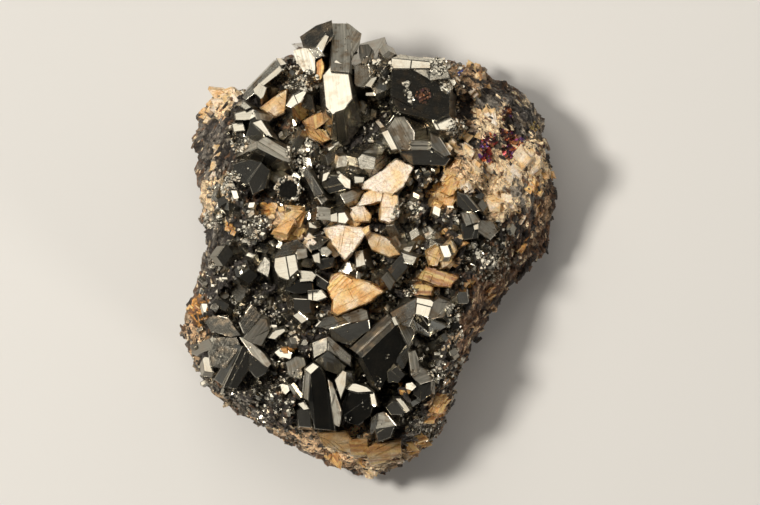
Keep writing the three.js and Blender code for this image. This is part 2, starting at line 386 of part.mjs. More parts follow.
// The closed convex solid inside a list of planes, as the hull of the corners where three planes meet.
function convexInside(planes) {
  const corners = [];
  for (let i = 0; i < planes.length; i++) {
    for (let j = i + 1; j < planes.length; j++) {
      for (let k = j + 1; k < planes.length; k++) {
        const [a, b, c] = [planes[i], planes[j], planes[k]];
        const bc = b.normal.clone().cross(c.normal);
        const volume = a.normal.dot(bc);
        if (Math.abs(volume) < PARALLEL) continue;
        const corner = bc.multiplyScalar(-a.constant)
          .addScaledVector(c.normal.clone().cross(a.normal), -b.constant)
          .addScaledVector(a.normal.clone().cross(b.normal), -c.constant)
          .divideScalar(volume);
        const inside = planes.every((plane) => plane.distanceToPoint(corner) < ON_PLANE);
        const isNew = corners.every((p) => p.distanceTo(corner) > SAME_CORNER);
        if (inside && isNew) corners.push(corner);
      }
    }
  }
  return new ConvexGeometry(corners);
}

// The direction that leans `lean` degrees from upright towards `azimuth`.
function direction(azimuth, lean) {
  const flat = Math.sin(radians(lean));
  const [x, y] = [Math.cos(radians(azimuth)), Math.sin(radians(azimuth))];
  return new THREE.Vector3(x * flat, y * flat, Math.cos(radians(lean)));
}

// One crystal from its row, down to its flat buried foot at `root`, with each of its planes pushed out by `grow`.
function crystal([firstZ, azimuth, lean, flare, ...numbers], root, grow = 0) {
  const up = direction(azimuth, lean);
  const first = new THREE.Vector3(numbers[0], numbers[1], firstZ);
  const face = new THREE.Plane().setFromNormalAndCoplanarPoint(up, first);
  const corners = [];
  for (let i = 0; i < numbers.length; i += 2) {
    const [x, y] = [numbers[i], numbers[i + 1]];
    corners.push(new THREE.Vector3(x, y, -(face.constant + up.x * x + up.y * y) / up.z));
  }
  const centre = corners.reduce((sum, p) => sum.add(p), new THREE.Vector3()).divideScalar(corners.length);
  const planes = [face, new THREE.Plane(new THREE.Vector3(0, 0, -1), root)];
  corners.forEach((corner, i) => {
    const edge = corners[(i + 1) % corners.length].clone().sub(corner);
    const outward = new THREE.Vector3(edge.y, -edge.x, 0).normalize();
    if (outward.dot(corner.clone().sub(centre)) < 0) outward.negate();
    const angle = radians(Array.isArray(flare) ? flare[i] : flare);
    const down = outward.clone().multiplyScalar(Math.sin(angle)).setZ(-Math.cos(angle));
    const normal = edge.cross(down).normalize();
    if (normal.dot(outward) < 0) normal.negate();
    planes.push(new THREE.Plane().setFromNormalAndCoplanarPoint(normal, corner));
  });
  for (const plane of planes) plane.constant -= grow;
  return solidFrom(convexInside(planes));
}

// ---------------------------------------------------------------- the rock
const noise = new ImprovedNoise();

function closedCurve(points) {
  return new THREE.CatmullRomCurve3(points, true, "centripetal");
}

const girth = closedCurve(STATIONS.map(([x, y]) => new THREE.Vector3(x, y, GIRTH_Z)));
const shoulder = closedCurve(STATIONS.map(([, , x, y, z]) => new THREE.Vector3(x, y, z)));
const middle = new THREE.Vector3(-2, -1, CROWN_Z);

function hollowAt(x, y) {
  return HOLLOWS.reduce((depth, [hx, hy, radius, deep]) => {
    const away = Math.hypot(x - hx, y - hy) / radius;
    return depth + deep * Math.exp(-away * away);
  }, 0);
}

// Rock lumps: coarse rounded ones, and fine ones folded so that they break into ledges.
function lumpAt(p) {
  const { coarse, fine } = LUMP_SIZE;
  const low = noise.noise(p.x / coarse, p.y / coarse, p.z / coarse + 7.3);
  const high = Math.abs(noise.noise(p.x / fine + 3.1, p.y / fine, p.z / fine)) - LEDGE_LEVEL;
  return LUMPS.coarse * low + LUMPS.fine * high;
}

// Rings of points from the underside's edge, over the widest outline and the shoulder, in to the middle.
function rockRings() {
  const rings = [];
  const ring = (count, at) => rings.push(Array.from({ length: count }, (_, i) => at(i / count)));
  const outward = (p) => new THREE.Vector3(p.x, p.y, 0).normalize();
  const around = FACE_RINGS[0][1];
  ring(around, (u) => girth.getPoint(u).multiplyScalar(BASE_SHRINK).setZ(0));
  ring(around, (u) => {
    const p = girth.getPoint(u).multiplyScalar(HEEL.share).setZ(HEEL.z);
    return p.addScaledVector(outward(p), lumpAt(p) * LOW_LUMPS);
  });
  for (let k = 0; k < SIDE_RINGS; k++) {
    const t = k / SIDE_RINGS;
    ring(around, (u) => {
      const low = girth.getPoint(u);
      const high = shoulder.getPoint(u);
      const p = low.clone().lerp(high, t);
      p.z = low.z + (high.z - low.z) * Math.sin((t * Math.PI) / 2);
      return p.addScaledVector(outward(p).setZ(t).normalize(), lumpAt(p) * (k === 0 ? LOW_LUMPS : 1));
    });
  }
  for (const [t, count] of FACE_RINGS) {
    ring(count, (u) => {
      const edge = shoulder.getPoint(u);
      const p = edge.clone().lerp(middle, t);
      p.z = edge.z + (CROWN_Z - edge.z) * Math.sin((t * Math.PI) / 2);
      p.z += lumpAt(p) - hollowAt(p.x, p.y);
      return p;
    });
  }
  return rings;
}

// Triangles between two rings, the inner one with as many points as the outer one or with half as many.
function stitch(triangles, outer, inner) {
  const step = outer.length / inner.length;
  inner.forEach((a, i) => {
    const b = inner[(i + 1) % inner.length];
    const ends = Array.from({ length: step + 1 }, (_, n) => outer[(i * step + n) % outer.length]);
    triangles.push(a, b, ends[step]);
    for (let n = 0; n < step; n++) triangles.push(ends[n], a, ends[n + 1]);
  });
}

function rockSolid() {
  const rings = rockRings();
  let count = 0;
  const ids = rings.map((ring) => ring.map(() => count++));
  const points = [...rings.flat(), new THREE.Vector3(0, 0, 0), middle];
  const triangles = [];
  for (let k = 0; k + 1 < ids.length; k++) stitch(triangles, ids[k], ids[k + 1]);
  const [base, face] = [ids[0], ids[ids.length - 1]];
  base.forEach((a, i) => triangles.push(count, a, base[(i + 1) % base.length]));
  face.forEach((a, i) => triangles.push(a, count + 1, face[(i + 1) % face.length]));
  const geometry = new THREE.BufferGeometry().setFromPoints(points);
  geometry.setIndex(triangles);
  return solidFrom(geometry);
}

// ---------------------------------------------------------------- assembly
const finishes = {
  tennantite: new THREE.MeshStandardMaterial({ color: 0x33322e, roughness: 0.25, metalness: 0.9 }),
  siderite: new THREE.MeshStandardMaterial({ color: 0xd9a86c, roughness: 0.45, metalness: 0 }),
  rock: new THREE.MeshStandardMaterial({ color: 0x8a6f52, roughness: 0.85, metalness: 0 }),
};

const specimen = new THREE.Group();
const seats = []; // every placed crystal, grown by the seat gap

function addNode(name, solid, finish) {
  const mesh = new THREE.Mesh(geometryFrom(solid), finishes[finish]);
  mesh.name = name;
  specimen.add(mesh);
}

// Joins a node's crystals, cuts away the rock and what earlier nodes fill, and remembers the space that it fills.
function addCrystals(name, rows, finish) {
  let solid = wasm.Manifold.union(rows.map((row) => crystal(row, ROOT_Z)));
  for (const seat of [...seats, seatRock]) solid = solid.subtract(seat);
  addNode(name, largestBody(solid), finish);
  seats.push(wasm.Manifold.union(rows.map((row) => crystal(row, ROOT_Z, SEAT_GAP))));
}

const rock = rockSolid();
const seatRock = rock.scale([RIM_GAP_SCALE, RIM_GAP_SCALE, 1]).translate([0, 0, SEAT_GAP]);
for (const [name, rows] of Object.entries(SIDERITE)) addCrystals(name, rows, "siderite");
for (const [name, rows] of Object.entries(TENNANTITE)) addCrystals(name, rows, "tennantite");

const grown = wasm.Manifold.union(FUSED.map((row) => crystal(row, ROOT_Z)));
const freeGrown = grown.subtract(wasm.Manifold.union(seats));
addNode("matrix", largestBody(rock.add(freeGrown)), "rock");

export default specimen;
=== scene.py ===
# %% [markdown]
# # A tennantite specimen
# A hand-size lump of siderite rock whose upper face is crowded with dark metallic tennantite crystals and a
# few tan siderite rhombs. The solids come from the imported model. Each one could simply be given a material,
# but a crystal reads as real through its bevelled edges, its striated faces and the crust of tiny crystals
# around its foot, so every solid is copied, dressed and put back in its own place.

# %% Load the frame
import json
import math
import random

import bmesh
import bpy
import numpy as np
from mathutils import Matrix, Vector, noise
from mathutils.bvhtree import BVHTree

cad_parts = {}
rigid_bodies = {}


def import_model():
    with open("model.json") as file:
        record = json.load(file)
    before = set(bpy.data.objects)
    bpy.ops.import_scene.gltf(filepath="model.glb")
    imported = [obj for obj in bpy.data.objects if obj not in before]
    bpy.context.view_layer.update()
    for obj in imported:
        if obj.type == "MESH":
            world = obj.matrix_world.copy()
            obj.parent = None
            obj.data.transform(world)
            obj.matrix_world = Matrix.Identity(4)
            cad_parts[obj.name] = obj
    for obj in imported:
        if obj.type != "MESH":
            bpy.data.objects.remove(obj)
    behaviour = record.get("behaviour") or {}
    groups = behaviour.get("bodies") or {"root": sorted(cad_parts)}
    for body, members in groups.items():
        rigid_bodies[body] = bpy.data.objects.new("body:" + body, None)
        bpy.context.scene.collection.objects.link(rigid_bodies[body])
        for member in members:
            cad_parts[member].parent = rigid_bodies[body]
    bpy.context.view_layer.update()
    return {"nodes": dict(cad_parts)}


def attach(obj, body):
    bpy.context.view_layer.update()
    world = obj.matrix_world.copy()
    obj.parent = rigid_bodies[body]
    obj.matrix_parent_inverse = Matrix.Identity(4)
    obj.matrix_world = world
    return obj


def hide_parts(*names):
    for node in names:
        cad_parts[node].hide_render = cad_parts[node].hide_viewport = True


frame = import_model()
NODES = frame["nodes"]
MM = 0.001
CRYSTAL_NODES = sorted(name for name in NODES if name != "matrix")

# %% [markdown]
# ## Camera
# The specimen lies on its flat back and the camera looks straight down at the crystal face. A very long
# lens is used, because a short one would make the tall crystals loom over the rim. The width that fits the
# picture and the lens together give the distance.

# %% Camera
PICTURE_WIDTH = 152 * MM
LENS_MM = 500
AIM = Vector((1.8 * MM, -0.1 * MM, 22 * MM))

camera_data = bpy.data.cameras.new("camera")
camera_data.lens = LENS_MM
CAMERA_DISTANCE = PICTURE_WIDTH / camera_data.sensor_width * LENS_MM
camera = bpy.data.objects.new("camera", camera_data)
camera.location = AIM + Vector((0, 0, CAMERA_DISTANCE))
camera_data.clip_end = CAMERA_DISTANCE * 3
bpy.context.scene.collection.objects.link(camera)
bpy.context.scene.camera = camera
print("camera distance m:", round(CAMERA_DISTANCE, 3))

# %% [markdown]
# ## Light
# Metal shows what it mirrors. One soft panel stands where the crystals' shared bright faces mirror it, a
# small strong one behind it gives the shadows an edge, a dimmer one serves the grey faces, and the rest of
# the room is dim, so that the other faces go dark. A low lamp on the other side opens up the walls. Area
# lights are soft by their size. A panel's wanted brightness is turned into watts through its area.

# %% Light
WARM_WHITE = (1.0, 0.95, 0.87)
WARM_GREY = (1.0, 0.93, 0.84)
PANEL_DISTANCE = 1.0
PANELS = [
    # name, azimuth and elevation in degrees, side m, brightness, colour
    ("key_panel", 110, 54, 0.64, 2.2, WARM_WHITE), ("key_core", 165, 60, 0.16, 105.0, WARM_WHITE),
    ("side_panel", 42, 46, 0.8, 0.45, WARM_GREY), ("fill_core", 318, 18, 0.22, 15.0, WARM_GREY),
]


def panel(name, azimuth, elevation, size, brightness, colour):
    """A square soft light aimed at the specimen; brightness is what a mirror turned to it shows."""
    data = bpy.data.lights.new(name, "AREA")
    data.size = size
    data.energy = brightness * math.pi * size * size
    data.color = colour
    lamp = bpy.data.objects.new(name, data)
    lamp.visible_camera = False
    flat = math.cos(math.radians(elevation))
    away = Vector((math.cos(math.radians(azimuth)) * flat, math.sin(math.radians(azimuth)) * flat,
                   math.sin(math.radians(elevation))))
    lamp.location = AIM + away * PANEL_DISTANCE
    lamp.rotation_euler = away.to_track_quat("Z", "Y").to_euler()
    bpy.context.scene.collection.objects.link(lamp)


for row in PANELS:
    panel(*row)
print("lights:", len(PANELS))

# %% [markdown]
# ## Room
# What is left to mirror is the room itself. A plain grey would make every metal face look the same, so it
# runs from dim grey at the level of the table to nearly black overhead.

# %% Room
ROOM_LOW = (0.34, 0.35, 0.36, 1)
ROOM_HIGH = (0.02, 0.021, 0.023, 1)
DARK_FROM = 0.55

world = bpy.data.worlds.new("room")
bpy.context.scene.world = world
world.use_nodes = True
room = world.node_tree
direction = room.nodes.new("ShaderNodeTexCoord")
split = room.nodes.new("ShaderNodeSeparateXYZ")
ramp = room.nodes.new("ShaderNodeValToRGB")
room.links.new(direction.outputs["Generated"], split.inputs[0])
room.links.new(split.outputs["Z"], ramp.inputs[0])
room.links.new(ramp.outputs[0], room.nodes["Background"].inputs["Color"])
ramp.color_ramp.elements[0].position = 0.0
ramp.color_ramp.elements[0].color = ROOM_LOW
ramp.color_ramp.elements[1].position = DARK_FROM
ramp.color_ramp.elements[1].color = ROOM_HIGH
bpy.context.scene.view_settings.view_transform = "Standard"
print("room nodes:", len(room.nodes))

# %% [markdown]
# ## Floor
# A plain pale sheet that the specimen lies on. One big square is enough, a little below the flat back so
# that the two faces don't flicker through each other.

# %% Floor
FLOOR_SIDE = 6.0
FLOOR_DROP = 0.02 * MM
PAPER_WHITE = (0.72, 0.71, 0.69, 1)
PAPER_ROUGHNESS = 0.8

floor_mesh = bpy.data.meshes.new("floor")
shape = bmesh.new()
bmesh.ops.create_grid(shape, x_segments=1, y_segments=1, size=FLOOR_SIDE / 2)
bmesh.ops.translate(shape, verts=shape.verts, vec=(0, 0, -FLOOR_DROP))
shape.to_mesh(floor_mesh)
shape.free()
floor = bpy.data.objects.new("floor", floor_mesh)
bpy.context.scene.collection.objects.link(floor)
paper = bpy.data.materials.new("pale_paper")
paper.use_nodes = True
paper.node_tree.nodes["Principled BSDF"].inputs["Base Color"].default_value = PAPER_WHITE
paper.node_tree.nodes["Principled BSDF"].inputs["Roughness"].default_value = PAPER_ROUGHNESS
floor_mesh.materials.append(paper)
print("floor side m:", FLOOR_SIDE)

# %% [markdown]
# ## Helpers for materials
# A material is a small graph. These helpers add one node each and plug numbers or other nodes into it, so
# that a finish reads as a few lines. All sizes inside a finish are in millimetres: the coordinates are
# scaled once.

# %% Helpers for materials
def plug(tree, socket, value):
    """Links a node's output to the socket, or sets the socket to a plain value."""
    if isinstance(value, bpy.types.NodeSocket):
        tree.links.new(value, socket)
    else:
        socket.default_value = value


def add(tree, kind, inputs, output=0, **settings):
    """Adds a node, sets it up, plugs its inputs and returns one of its outputs."""
    made = tree.nodes.new("ShaderNode" + kind)
    for key, value in settings.items():
        setattr(made, key, value)
    for key, value in inputs.items():
        plug(tree, made.inputs[key], value)
    return made.outputs[output]


def math_node(tree, operation, a, b=0.0, c=0.0, clamp=False):
    """One sum of up to three numbers."""
    return add(tree, "Math", {0: a, 1: b, 2: c}, operation=operation, use_clamp=clamp)


def times(tree, a, b):
    return math_node(tree, "MULTIPLY", a, b)


def noise_node(tree, vector, scale, detail=3.0, roughness=0.55):
    return add(tree, "TexNoise", {"Vector": vector, "Scale": scale, "Detail": detail, "Roughness": roughness})


def remap(tree, value, low, high, to_low=0.0, to_high=1.0):
    """Turns the range low to high into another one, with soft ends."""
    inputs = {"Value": value, "From Min": low, "From Max": high, "To Min": to_low, "To Max": to_high}
    return add(tree, "MapRange", inputs, interpolation_type="SMOOTHSTEP")


def blend(tree, share, a, b):
    """A colour between a and b."""
    made = tree.nodes.new("ShaderNodeMix")
    made.data_type = "RGBA"
    plug(tree, made.inputs[0], share)
    plug(tree, made.inputs[6], a)
    plug(tree, made.inputs[7], b)
    return made.outputs[2]


def shaded(tree, colour, level):
    """A colour made darker or lighter by one number."""
    grey = add(tree, "CombineXYZ", {0: level, 1: level, 2: level})
    return add(tree, "VectorMath", {0: colour, 1: grey}, operation="MULTIPLY")


def scaled(tree, vector, x, y, z):
    return add(tree, "Mapping", {"Vector": vector, "Scale": (x, y, z)})


def lines_along(tree, along, x, y, detail=4.0, roughness=0.65):
    """Noise drawn out into lines: x and y are its scales along and across the face's longest edge."""
    return noise_node(tree, scaled(tree, along, x, y, 1), 1.0, detail, roughness)


def object_mm(tree):
    """Object coordinates in millimetres."""
    return scaled(tree, add(tree, "TexCoord", {}, "Object"), 1 / MM, 1 / MM, 1 / MM)


def face_mm(tree):
    """The flat map that runs along each face's longest edge, in millimetres."""
    return add(tree, "UVMap", {}, uv_map="face_mm")


def attribute(tree, name, output="Fac"):
    return add(tree, "Attribute", {}, output, attribute_name=name)


def bump(tree, height, depth_mm, normal=None):
    """Relief up to a depth in millimetres, on top of any relief already there."""
    inputs = {"Height": height, "Distance": depth_mm * MM}
    if normal is not None:
        inputs["Normal"] = normal
    return add(tree, "Bump", inputs)


def new_finish(name):
    """A new material's graph and its surface shader."""
    material = bpy.data.materials.new(name)
    material.use_nodes = True
    return material, material.node_tree, material.node_tree.nodes["Principled BSDF"]


# %% [markdown]
# ## Tennantite
# Tennantite is a grey-black metal sulfide. Its end faces are mirrors, its long faces carry fine parallel
# striations, and old faces are a little brown and etched. The metal is one material everywhere. What changes
# from face to face is how much it is polished, so each face carries a polish value and a tone, and the
# striations run along the face's own map. The tone shifts the grey at random, but on some listed faces and
# placed crystals it is painted light and painted shade: a paler metal on faces that should look bright, a
# darker one on faces that should look dark. The striations are painted too: darker in their grooves as
# painted shade, paler on their ridges as painted light.

# %% Tennantite finish
DARK_METAL = (0.06, 0.057, 0.048, 1)
PALE_METAL = (0.62, 0.585, 0.49, 1)
BROWN_STAIN = (0.33, 0.26, 0.18, 1)
BROWN_CRUST = (0.2, 0.17, 0.13, 1)
PALE_FLECK = (0.8, 0.7, 0.54, 1)
METAL_SHARE = 0.94


def tennantite_colour(tree, place, dull, lines, waves):
    """Grey metal by the face's tone; a dull face is also stained, crusted and flecked, and its striations get
    painted shade in the grooves and painted light on the ridges.
    """
    metal = blend(tree, attribute(tree, "tone"), DARK_METAL, PALE_METAL)
    stain = times(tree, remap(tree, waves, 0.45, 0.7), remap(tree, dull, 0.0, 0.5, 0.12, 1.0))
    metal = blend(tree, stain, metal, BROWN_STAIN)
    crust = remap(tree, noise_node(tree, place, 0.8, 5.0, 0.75), 0.56, 0.66)
    metal = blend(tree, times(tree, crust, dull), metal, BROWN_CRUST)
    sway = math_node(tree, "MULTIPLY_ADD", dull, 1.25, 0.1)
    # Painted shade in the striations' grooves and painted light on their ridges: the same lines raise the
    # relief.
    painted_striation_shading = times(tree, remap(tree, lines, 0.3, 0.7, -0.35, 0.25), sway)
    metal = shaded(tree, metal, math_node(tree, "ADD", painted_striation_shading, 1.0))
    grit = noise_node(tree, place, 3.2, 6.0, 0.85)
    flecks = times(tree, remap(tree, grit, 0.6, 0.68), remap(tree, dull, 0.1, 0.6))
    return blend(tree, times(tree, flecks, 0.7), metal, PALE_FLECK)


def tennantite_relief(tree, along, dull, lines, waves, etching):
    """Soft waves everywhere, then striations and etching that are deeper on a dull face."""
    fine_lines = lines_along(tree, along, 0.25, 7.0, 2.0, 0.55)
    depth = math_node(tree, "MULTIPLY_ADD", dull, 0.9, 0.08)
    ridges = times(tree, math_node(tree, "ADD", lines, times(tree, fine_lines, 0.4)), depth)
    normal = bump(tree, waves, 0.04)
    normal = bump(tree, ridges, 0.07, normal)
    return bump(tree, times(tree, etching, dull), 0.06, normal)


def tennantite_finish():
    material, tree, surface = new_finish("tennantite")
    along = face_mm(tree)
    place = object_mm(tree)
    dull = math_node(tree, "SUBTRACT", 1.0, attribute(tree, "polish"))
    lines = lines_along(tree, along, 0.1, 2.6)
    waves = noise_node(tree, place, 0.45, 2.0)
    etching = noise_node(tree, place, 2.2, 5.0, 0.7)
    plug(tree, surface.inputs["Base Color"], tennantite_colour(tree, place, dull, lines, waves))
    rough = math_node(tree, "MULTIPLY_ADD", dull, 0.34, 0.08)
    rough = math_node(tree, "ADD", rough, remap(tree, etching, 0.5, 0.8, 0.0, 0.15))
    plug(tree, surface.inputs["Roughness"], rough)
    plug(tree, surface.inputs["Normal"], tennantite_relief(tree, along, dull, lines, waves, etching))
    surface.inputs["Metallic"].default_value = METAL_SHARE
    print("tennantite nodes:", len(tree.nodes))
    return material


TENNANTITE = tennantite_finish()

# %% [markdown]
# ## Siderite
# Siderite is an iron carbonate: cream where thin, honey to orange where thick, with a pearly sheen and
# straight cleavage cracks in two directions. The cracks run along each face's map. A warmth value on each
# face (stored as its tone) picks its place between cream and orange, and the warm pieces also get golden
# and red-brown growth bands. The polish value sets how bright a piece's body is: a low one is darker and
# less ribbed.

# %% Siderite finish
WARMTH_COLOURS = [
    # warmth, colour
    (0.0, (0.96, 0.84, 0.69, 1)), (0.35, (0.88, 0.62, 0.31, 1)), (0.6, (0.8, 0.45, 0.15, 1)),
    (0.85, (0.72, 0.32, 0.06, 1)), (1.0, (0.33, 0.12, 0.03, 1)),
]
CRACK_BROWN = (0.62, 0.33, 0.15, 1)
GOLD_BAND = (0.95, 0.66, 0.24, 1)
RED_BAND = (0.4, 0.14, 0.045, 1)
PALE_RIB = (0.97, 0.85, 0.7, 1)


def warmth_colour(tree, share):
    """Cream to deep orange, read off a ramp."""
    made = tree.nodes.new("ShaderNodeValToRGB")
    made.color_ramp.elements[0].color = WARMTH_COLOURS[0][1]
    made.color_ramp.elements[1].color = WARMTH_COLOURS[-1][1]
    for position, colour in WARMTH_COLOURS[1:-1]:
        made.color_ramp.elements.new(position).color = colour
    plug(tree, made.inputs[0], share)
    return made.outputs[0]


def crack_free(tree, noise_lines, width):
    """0 on a thin crack, where the noise passes its middle value, and 1 away from it."""
    off_middle = math_node(tree, "ABSOLUTE", math_node(tree, "SUBTRACT", noise_lines, 0.5))
    return remap(tree, off_middle, 0.0, width)


def siderite_colour(tree, place, along, cracks_a, cracks_b, grain):
    """The body's colour, then cracks, growth bands and pale ribs on it, and a darkening by the polish value
    and grain over all.
    """
    warmth = attribute(tree, "tone")
    cloud = noise_node(tree, place, 0.3, 2.0, 0.5)
    share = math_node(tree, "ADD", warmth, remap(tree, cloud, 0.3, 0.7, -0.28, 0.28), clamp=True)
    clear = times(tree, crack_free(tree, cracks_a, 0.018), crack_free(tree, cracks_b, 0.012))
    faint = math_node(tree, "MULTIPLY_ADD", clear, 0.6, 0.4)
    body = blend(tree, faint, CRACK_BROWN, warmth_colour(tree, share))
    growth = lines_along(tree, along, 0.07, 0.9)
    warm = remap(tree, warmth, 0.3, 0.62)
    body = blend(tree, times(tree, remap(tree, growth, 0.5, 0.4), warm), body, GOLD_BAND)
    body = blend(tree, times(tree, remap(tree, growth, 0.52, 0.6), times(tree, warm, 0.8)), body, RED_BAND)
    pale_lines = remap(tree, lines_along(tree, along, 0.15, 2.2, 4.0, 0.7), 0.6, 0.68)
    ribs = times(tree, pale_lines, remap(tree, attribute(tree, "polish"), 0.5, 1.0, 0.15, 0.5))
    body = blend(tree, ribs, body, PALE_RIB)
    body_level = math_node(tree, "MULTIPLY_ADD", attribute(tree, "polish"), 0.6, 0.4)
    body_level = times(tree, body_level, remap(tree, grain, 0.35, 0.65, 0.82, 1.1))
    return shaded(tree, body, body_level)


def siderite_finish():
    material, tree, surface = new_finish("siderite")
    along = face_mm(tree)
    place = object_mm(tree)
    cracks_a = lines_along(tree, along, 0.12, 1.3, 3.0, 0.7)
    cracks_b = lines_along(tree, along, 1.1, 0.1, 3.0, 0.7)
    grain = noise_node(tree, place, 2.5, 4.0, 0.65)
    colour = siderite_colour(tree, place, along, cracks_a, cracks_b, grain)
    plug(tree, surface.inputs["Base Color"], colour)
    plug(tree, surface.inputs["Roughness"], remap(tree, grain, 0.35, 0.7, 0.28, 0.55))
    surface.inputs["Subsurface Weight"].default_value = 0.15
    surface.inputs["Subsurface Radius"].default_value = (1.0 * MM, 0.5 * MM, 0.25 * MM)
    surface.inputs["Subsurface Scale"].default_value = 1.0
    surface.inputs["Specular IOR Level"].default_value = 0.6
    steps = math_node(tree, "ADD", remap(tree, cracks_a, 0.48, 0.52), remap(tree, cracks_b, 0.48, 0.52))
    plug(tree, surface.inputs["Normal"], bump(tree, grain, 0.08, bump(tree, steps, 0.04)))
    print("siderite nodes:", len(tree.nodes))
    return material


SIDERITE = siderite_finish()

# %% [markdown]
# ## Rock
# The rock is a granular mix, so its colour is worked out in two steps. Broad patches, such as the cream
# seam on the left wall or the tan ledges on the right, are written on the mesh as a colour for each point.
# Grains, pits and specks far smaller than that come from textures in the material; the pits, the lowest spots
# of the speck relief, are painted near-black as painted shade.

# %% Rock finish
SPECK_TAN = (0.86, 0.64, 0.4, 1)
PIT_SHADE_BLACK = (0.012, 0.01, 0.009, 1)


def rock_finish():
    material, tree, surface = new_finish("rock")
    place = object_mm(tree)
    broad = attribute(tree, "patch", "Color")
    cells = add(tree, "TexVoronoi", {"Vector": place, "Scale": 1.5, "Randomness": 1.0}, "Color")
    small_cells = add(tree, "TexVoronoi", {"Vector": place, "Scale": 3.4, "Randomness": 1.0}, "Color")
    specks = noise_node(tree, place, 2.6, 6.0, 0.8)
    pale = remap(tree, specks, 0.56, 0.72)
    # Painted shade: the lowest spots of the speck relief are darkened to near-black.
    painted_pit_shade = remap(tree, specks, 0.42, 0.3)
    grey_a = add(tree, "SeparateColor", {0: cells}, 0)
    grey_b = add(tree, "SeparateColor", {0: small_cells}, 1)
    level = times(tree, remap(tree, grey_a, 0.0, 1.0, 0.6, 1.4), remap(tree, grey_b, 0.0, 1.0, 0.7, 1.45))
    colour = shaded(tree, broad, level)
    colour = blend(tree, times(tree, pale, 0.4), colour, SPECK_TAN)
    colour = blend(tree, times(tree, painted_pit_shade, 0.85), colour, PIT_SHADE_BLACK)
    plug(tree, surface.inputs["Base Color"], colour)
    plug(tree, surface.inputs["Roughness"], remap(tree, grey_b, 0.0, 1.0, 0.35, 0.85))
    plug(tree, surface.inputs["Normal"], bump(tree, grey_a, 0.12, bump(tree, specks, 0.5)))
    print("rock nodes:", len(tree.nodes))
    return material


ROCK = rock_finish()

# %% [markdown]
# ## Helpers for pieces
# A finished piece keeps its object at the origin and its place in its mesh. Each face gets a map that runs
# along its longest edge, in millimetres, which is what striations and cleavage follow on a real crystal.
# Cutting and raising faces leaves them in no fixed order, so anything drawn at random goes to them by place
# instead.

# %% Helpers for pieces
MAP_SPREAD = 90


def by_place(item):
    """A key that puts points, edges or faces in one order, whatever order they were made in."""
    points = [item.co] if isinstance(item, bmesh.types.BMVert) else [vert.co for vert in item.verts]
    return tuple(round(value / len(points) / MM, 3) for value in sum(points, Vector()))


def put_in_order(bm):
    """Numbers points, edges and faces by place."""
    for items in (bm.verts, bm.edges, bm.faces):
        for number, item in enumerate(sorted(items, key=by_place)):
            item.index = number
        items.sort()


def edge_way(edge):
    """An edge's direction, always with its larger part positive."""
    way = (edge.verts[1].co - edge.verts[0].co).normalized()
    return -way if max(way, key=abs) < 0 else way


def longest_edge(face):
    """The longest edge of a face; of two equal ones always the same."""
    return max(face.edges, key=lambda edge: (round(edge.calc_length() / MM, 3), by_place(edge)))


def map_faces(bm, seed):
    """Lays each face on the face_mm map, along its longest edge, and moves it to a place of its own there."""
    layer = bm.loops.layers.uv.get("face_mm") or bm.loops.layers.uv.new("face_mm")
    draw = random.Random(seed)
    for face in bm.faces:
        u = edge_way(longest_edge(face))
        v = face.normal.cross(u)
        shift = Vector((draw.uniform(0, MAP_SPREAD), draw.uniform(0, MAP_SPREAD)))
        for loop in face.loops:
            loop[layer].uv = Vector((loop.vert.co.dot(u) / MM, loop.vert.co.dot(v) / MM)) + shift


def set_faces(mesh, name, values):
    """Writes one number for each face of a mesh."""
    made = mesh.attributes.new(name, "FLOAT", "FACE")
    made.data.foreach_set("value", np.array(values, np.float32))


def put_piece(name, mesh, material, replaced=()):
    """Puts a finished mesh in the scene as a piece of the specimen."""
    mesh.materials.append(material)
    piece = bpy.data.objects.new(name, mesh)
    bpy.context.scene.collection.objects.link(piece)
    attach(piece, "root")
    if replaced:
        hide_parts(*replaced)
    return piece


# %% [markdown]
# ## Clean copies with worn edges
# A copy of each solid is merged and its flat faces are joined, so that one crystal face is one face of the
# mesh. Long edges get a narrow bevel: on the real crystals the edges are slightly worn and catch the light
# as thin bright lines. A bevel modifier would round the slivers too, so the long edges are picked here.

# %% Clean copies with worn edges
WELD = 0.003 * MM
FLAT = math.radians(0.6)
EDGE_WIDTH = 0.14 * MM
LONG_EDGE = 1.3 * MM
SHARP = math.radians(14)


def merged_copy(node):
    """A welded copy of a solid with its flat faces whole."""
    bm = bmesh.new()
    bm.from_mesh(NODES[node].data)
    bmesh.ops.remove_doubles(bm, verts=bm.verts, dist=WELD)
    bmesh.ops.dissolve_limit(bm, angle_limit=FLAT, verts=bm.verts, edges=bm.edges)
    for face in bm.faces:
        face.smooth = False
    return bm


def bevel_long_edges(bm, width):
    edges = [edge for edge in bm.edges
             if edge.is_manifold and edge.calc_length() > LONG_EDGE and edge.calc_face_angle() > SHARP]
    bmesh.ops.bevel(bm, geom=edges, offset=width, offset_type="OFFSET", segments=2, profile=0.5,
                    affect="EDGES", clamp_overlap=False, material=-1)
    bmesh.ops.dissolve_degenerate(bm, dist=0.002 * MM, edges=bm.edges)
    put_in_order(bm)


def pull_in_spikes(bm, tree, reach):
    """A narrow corner can throw a bevel's point far out; such a point goes back to the solid's surface."""
    for vert in bm.verts:
        spot, normal, index, distance = tree.find_nearest(vert.co)
        if distance > reach:
            vert.co = spot


# %% [markdown]
# ## Growth and cleavage steps
# Large faces aren't perfectly flat: tennantite grows in thin layers, and siderite breaks in steps along its
# cleavage. A texture could draw the steps, but their edges have to catch the light, so a face is cut in two
# along or across its striations, and one part is raised a little. Faces that all look the bright way get
# only low steps, because a mirror shows every one.

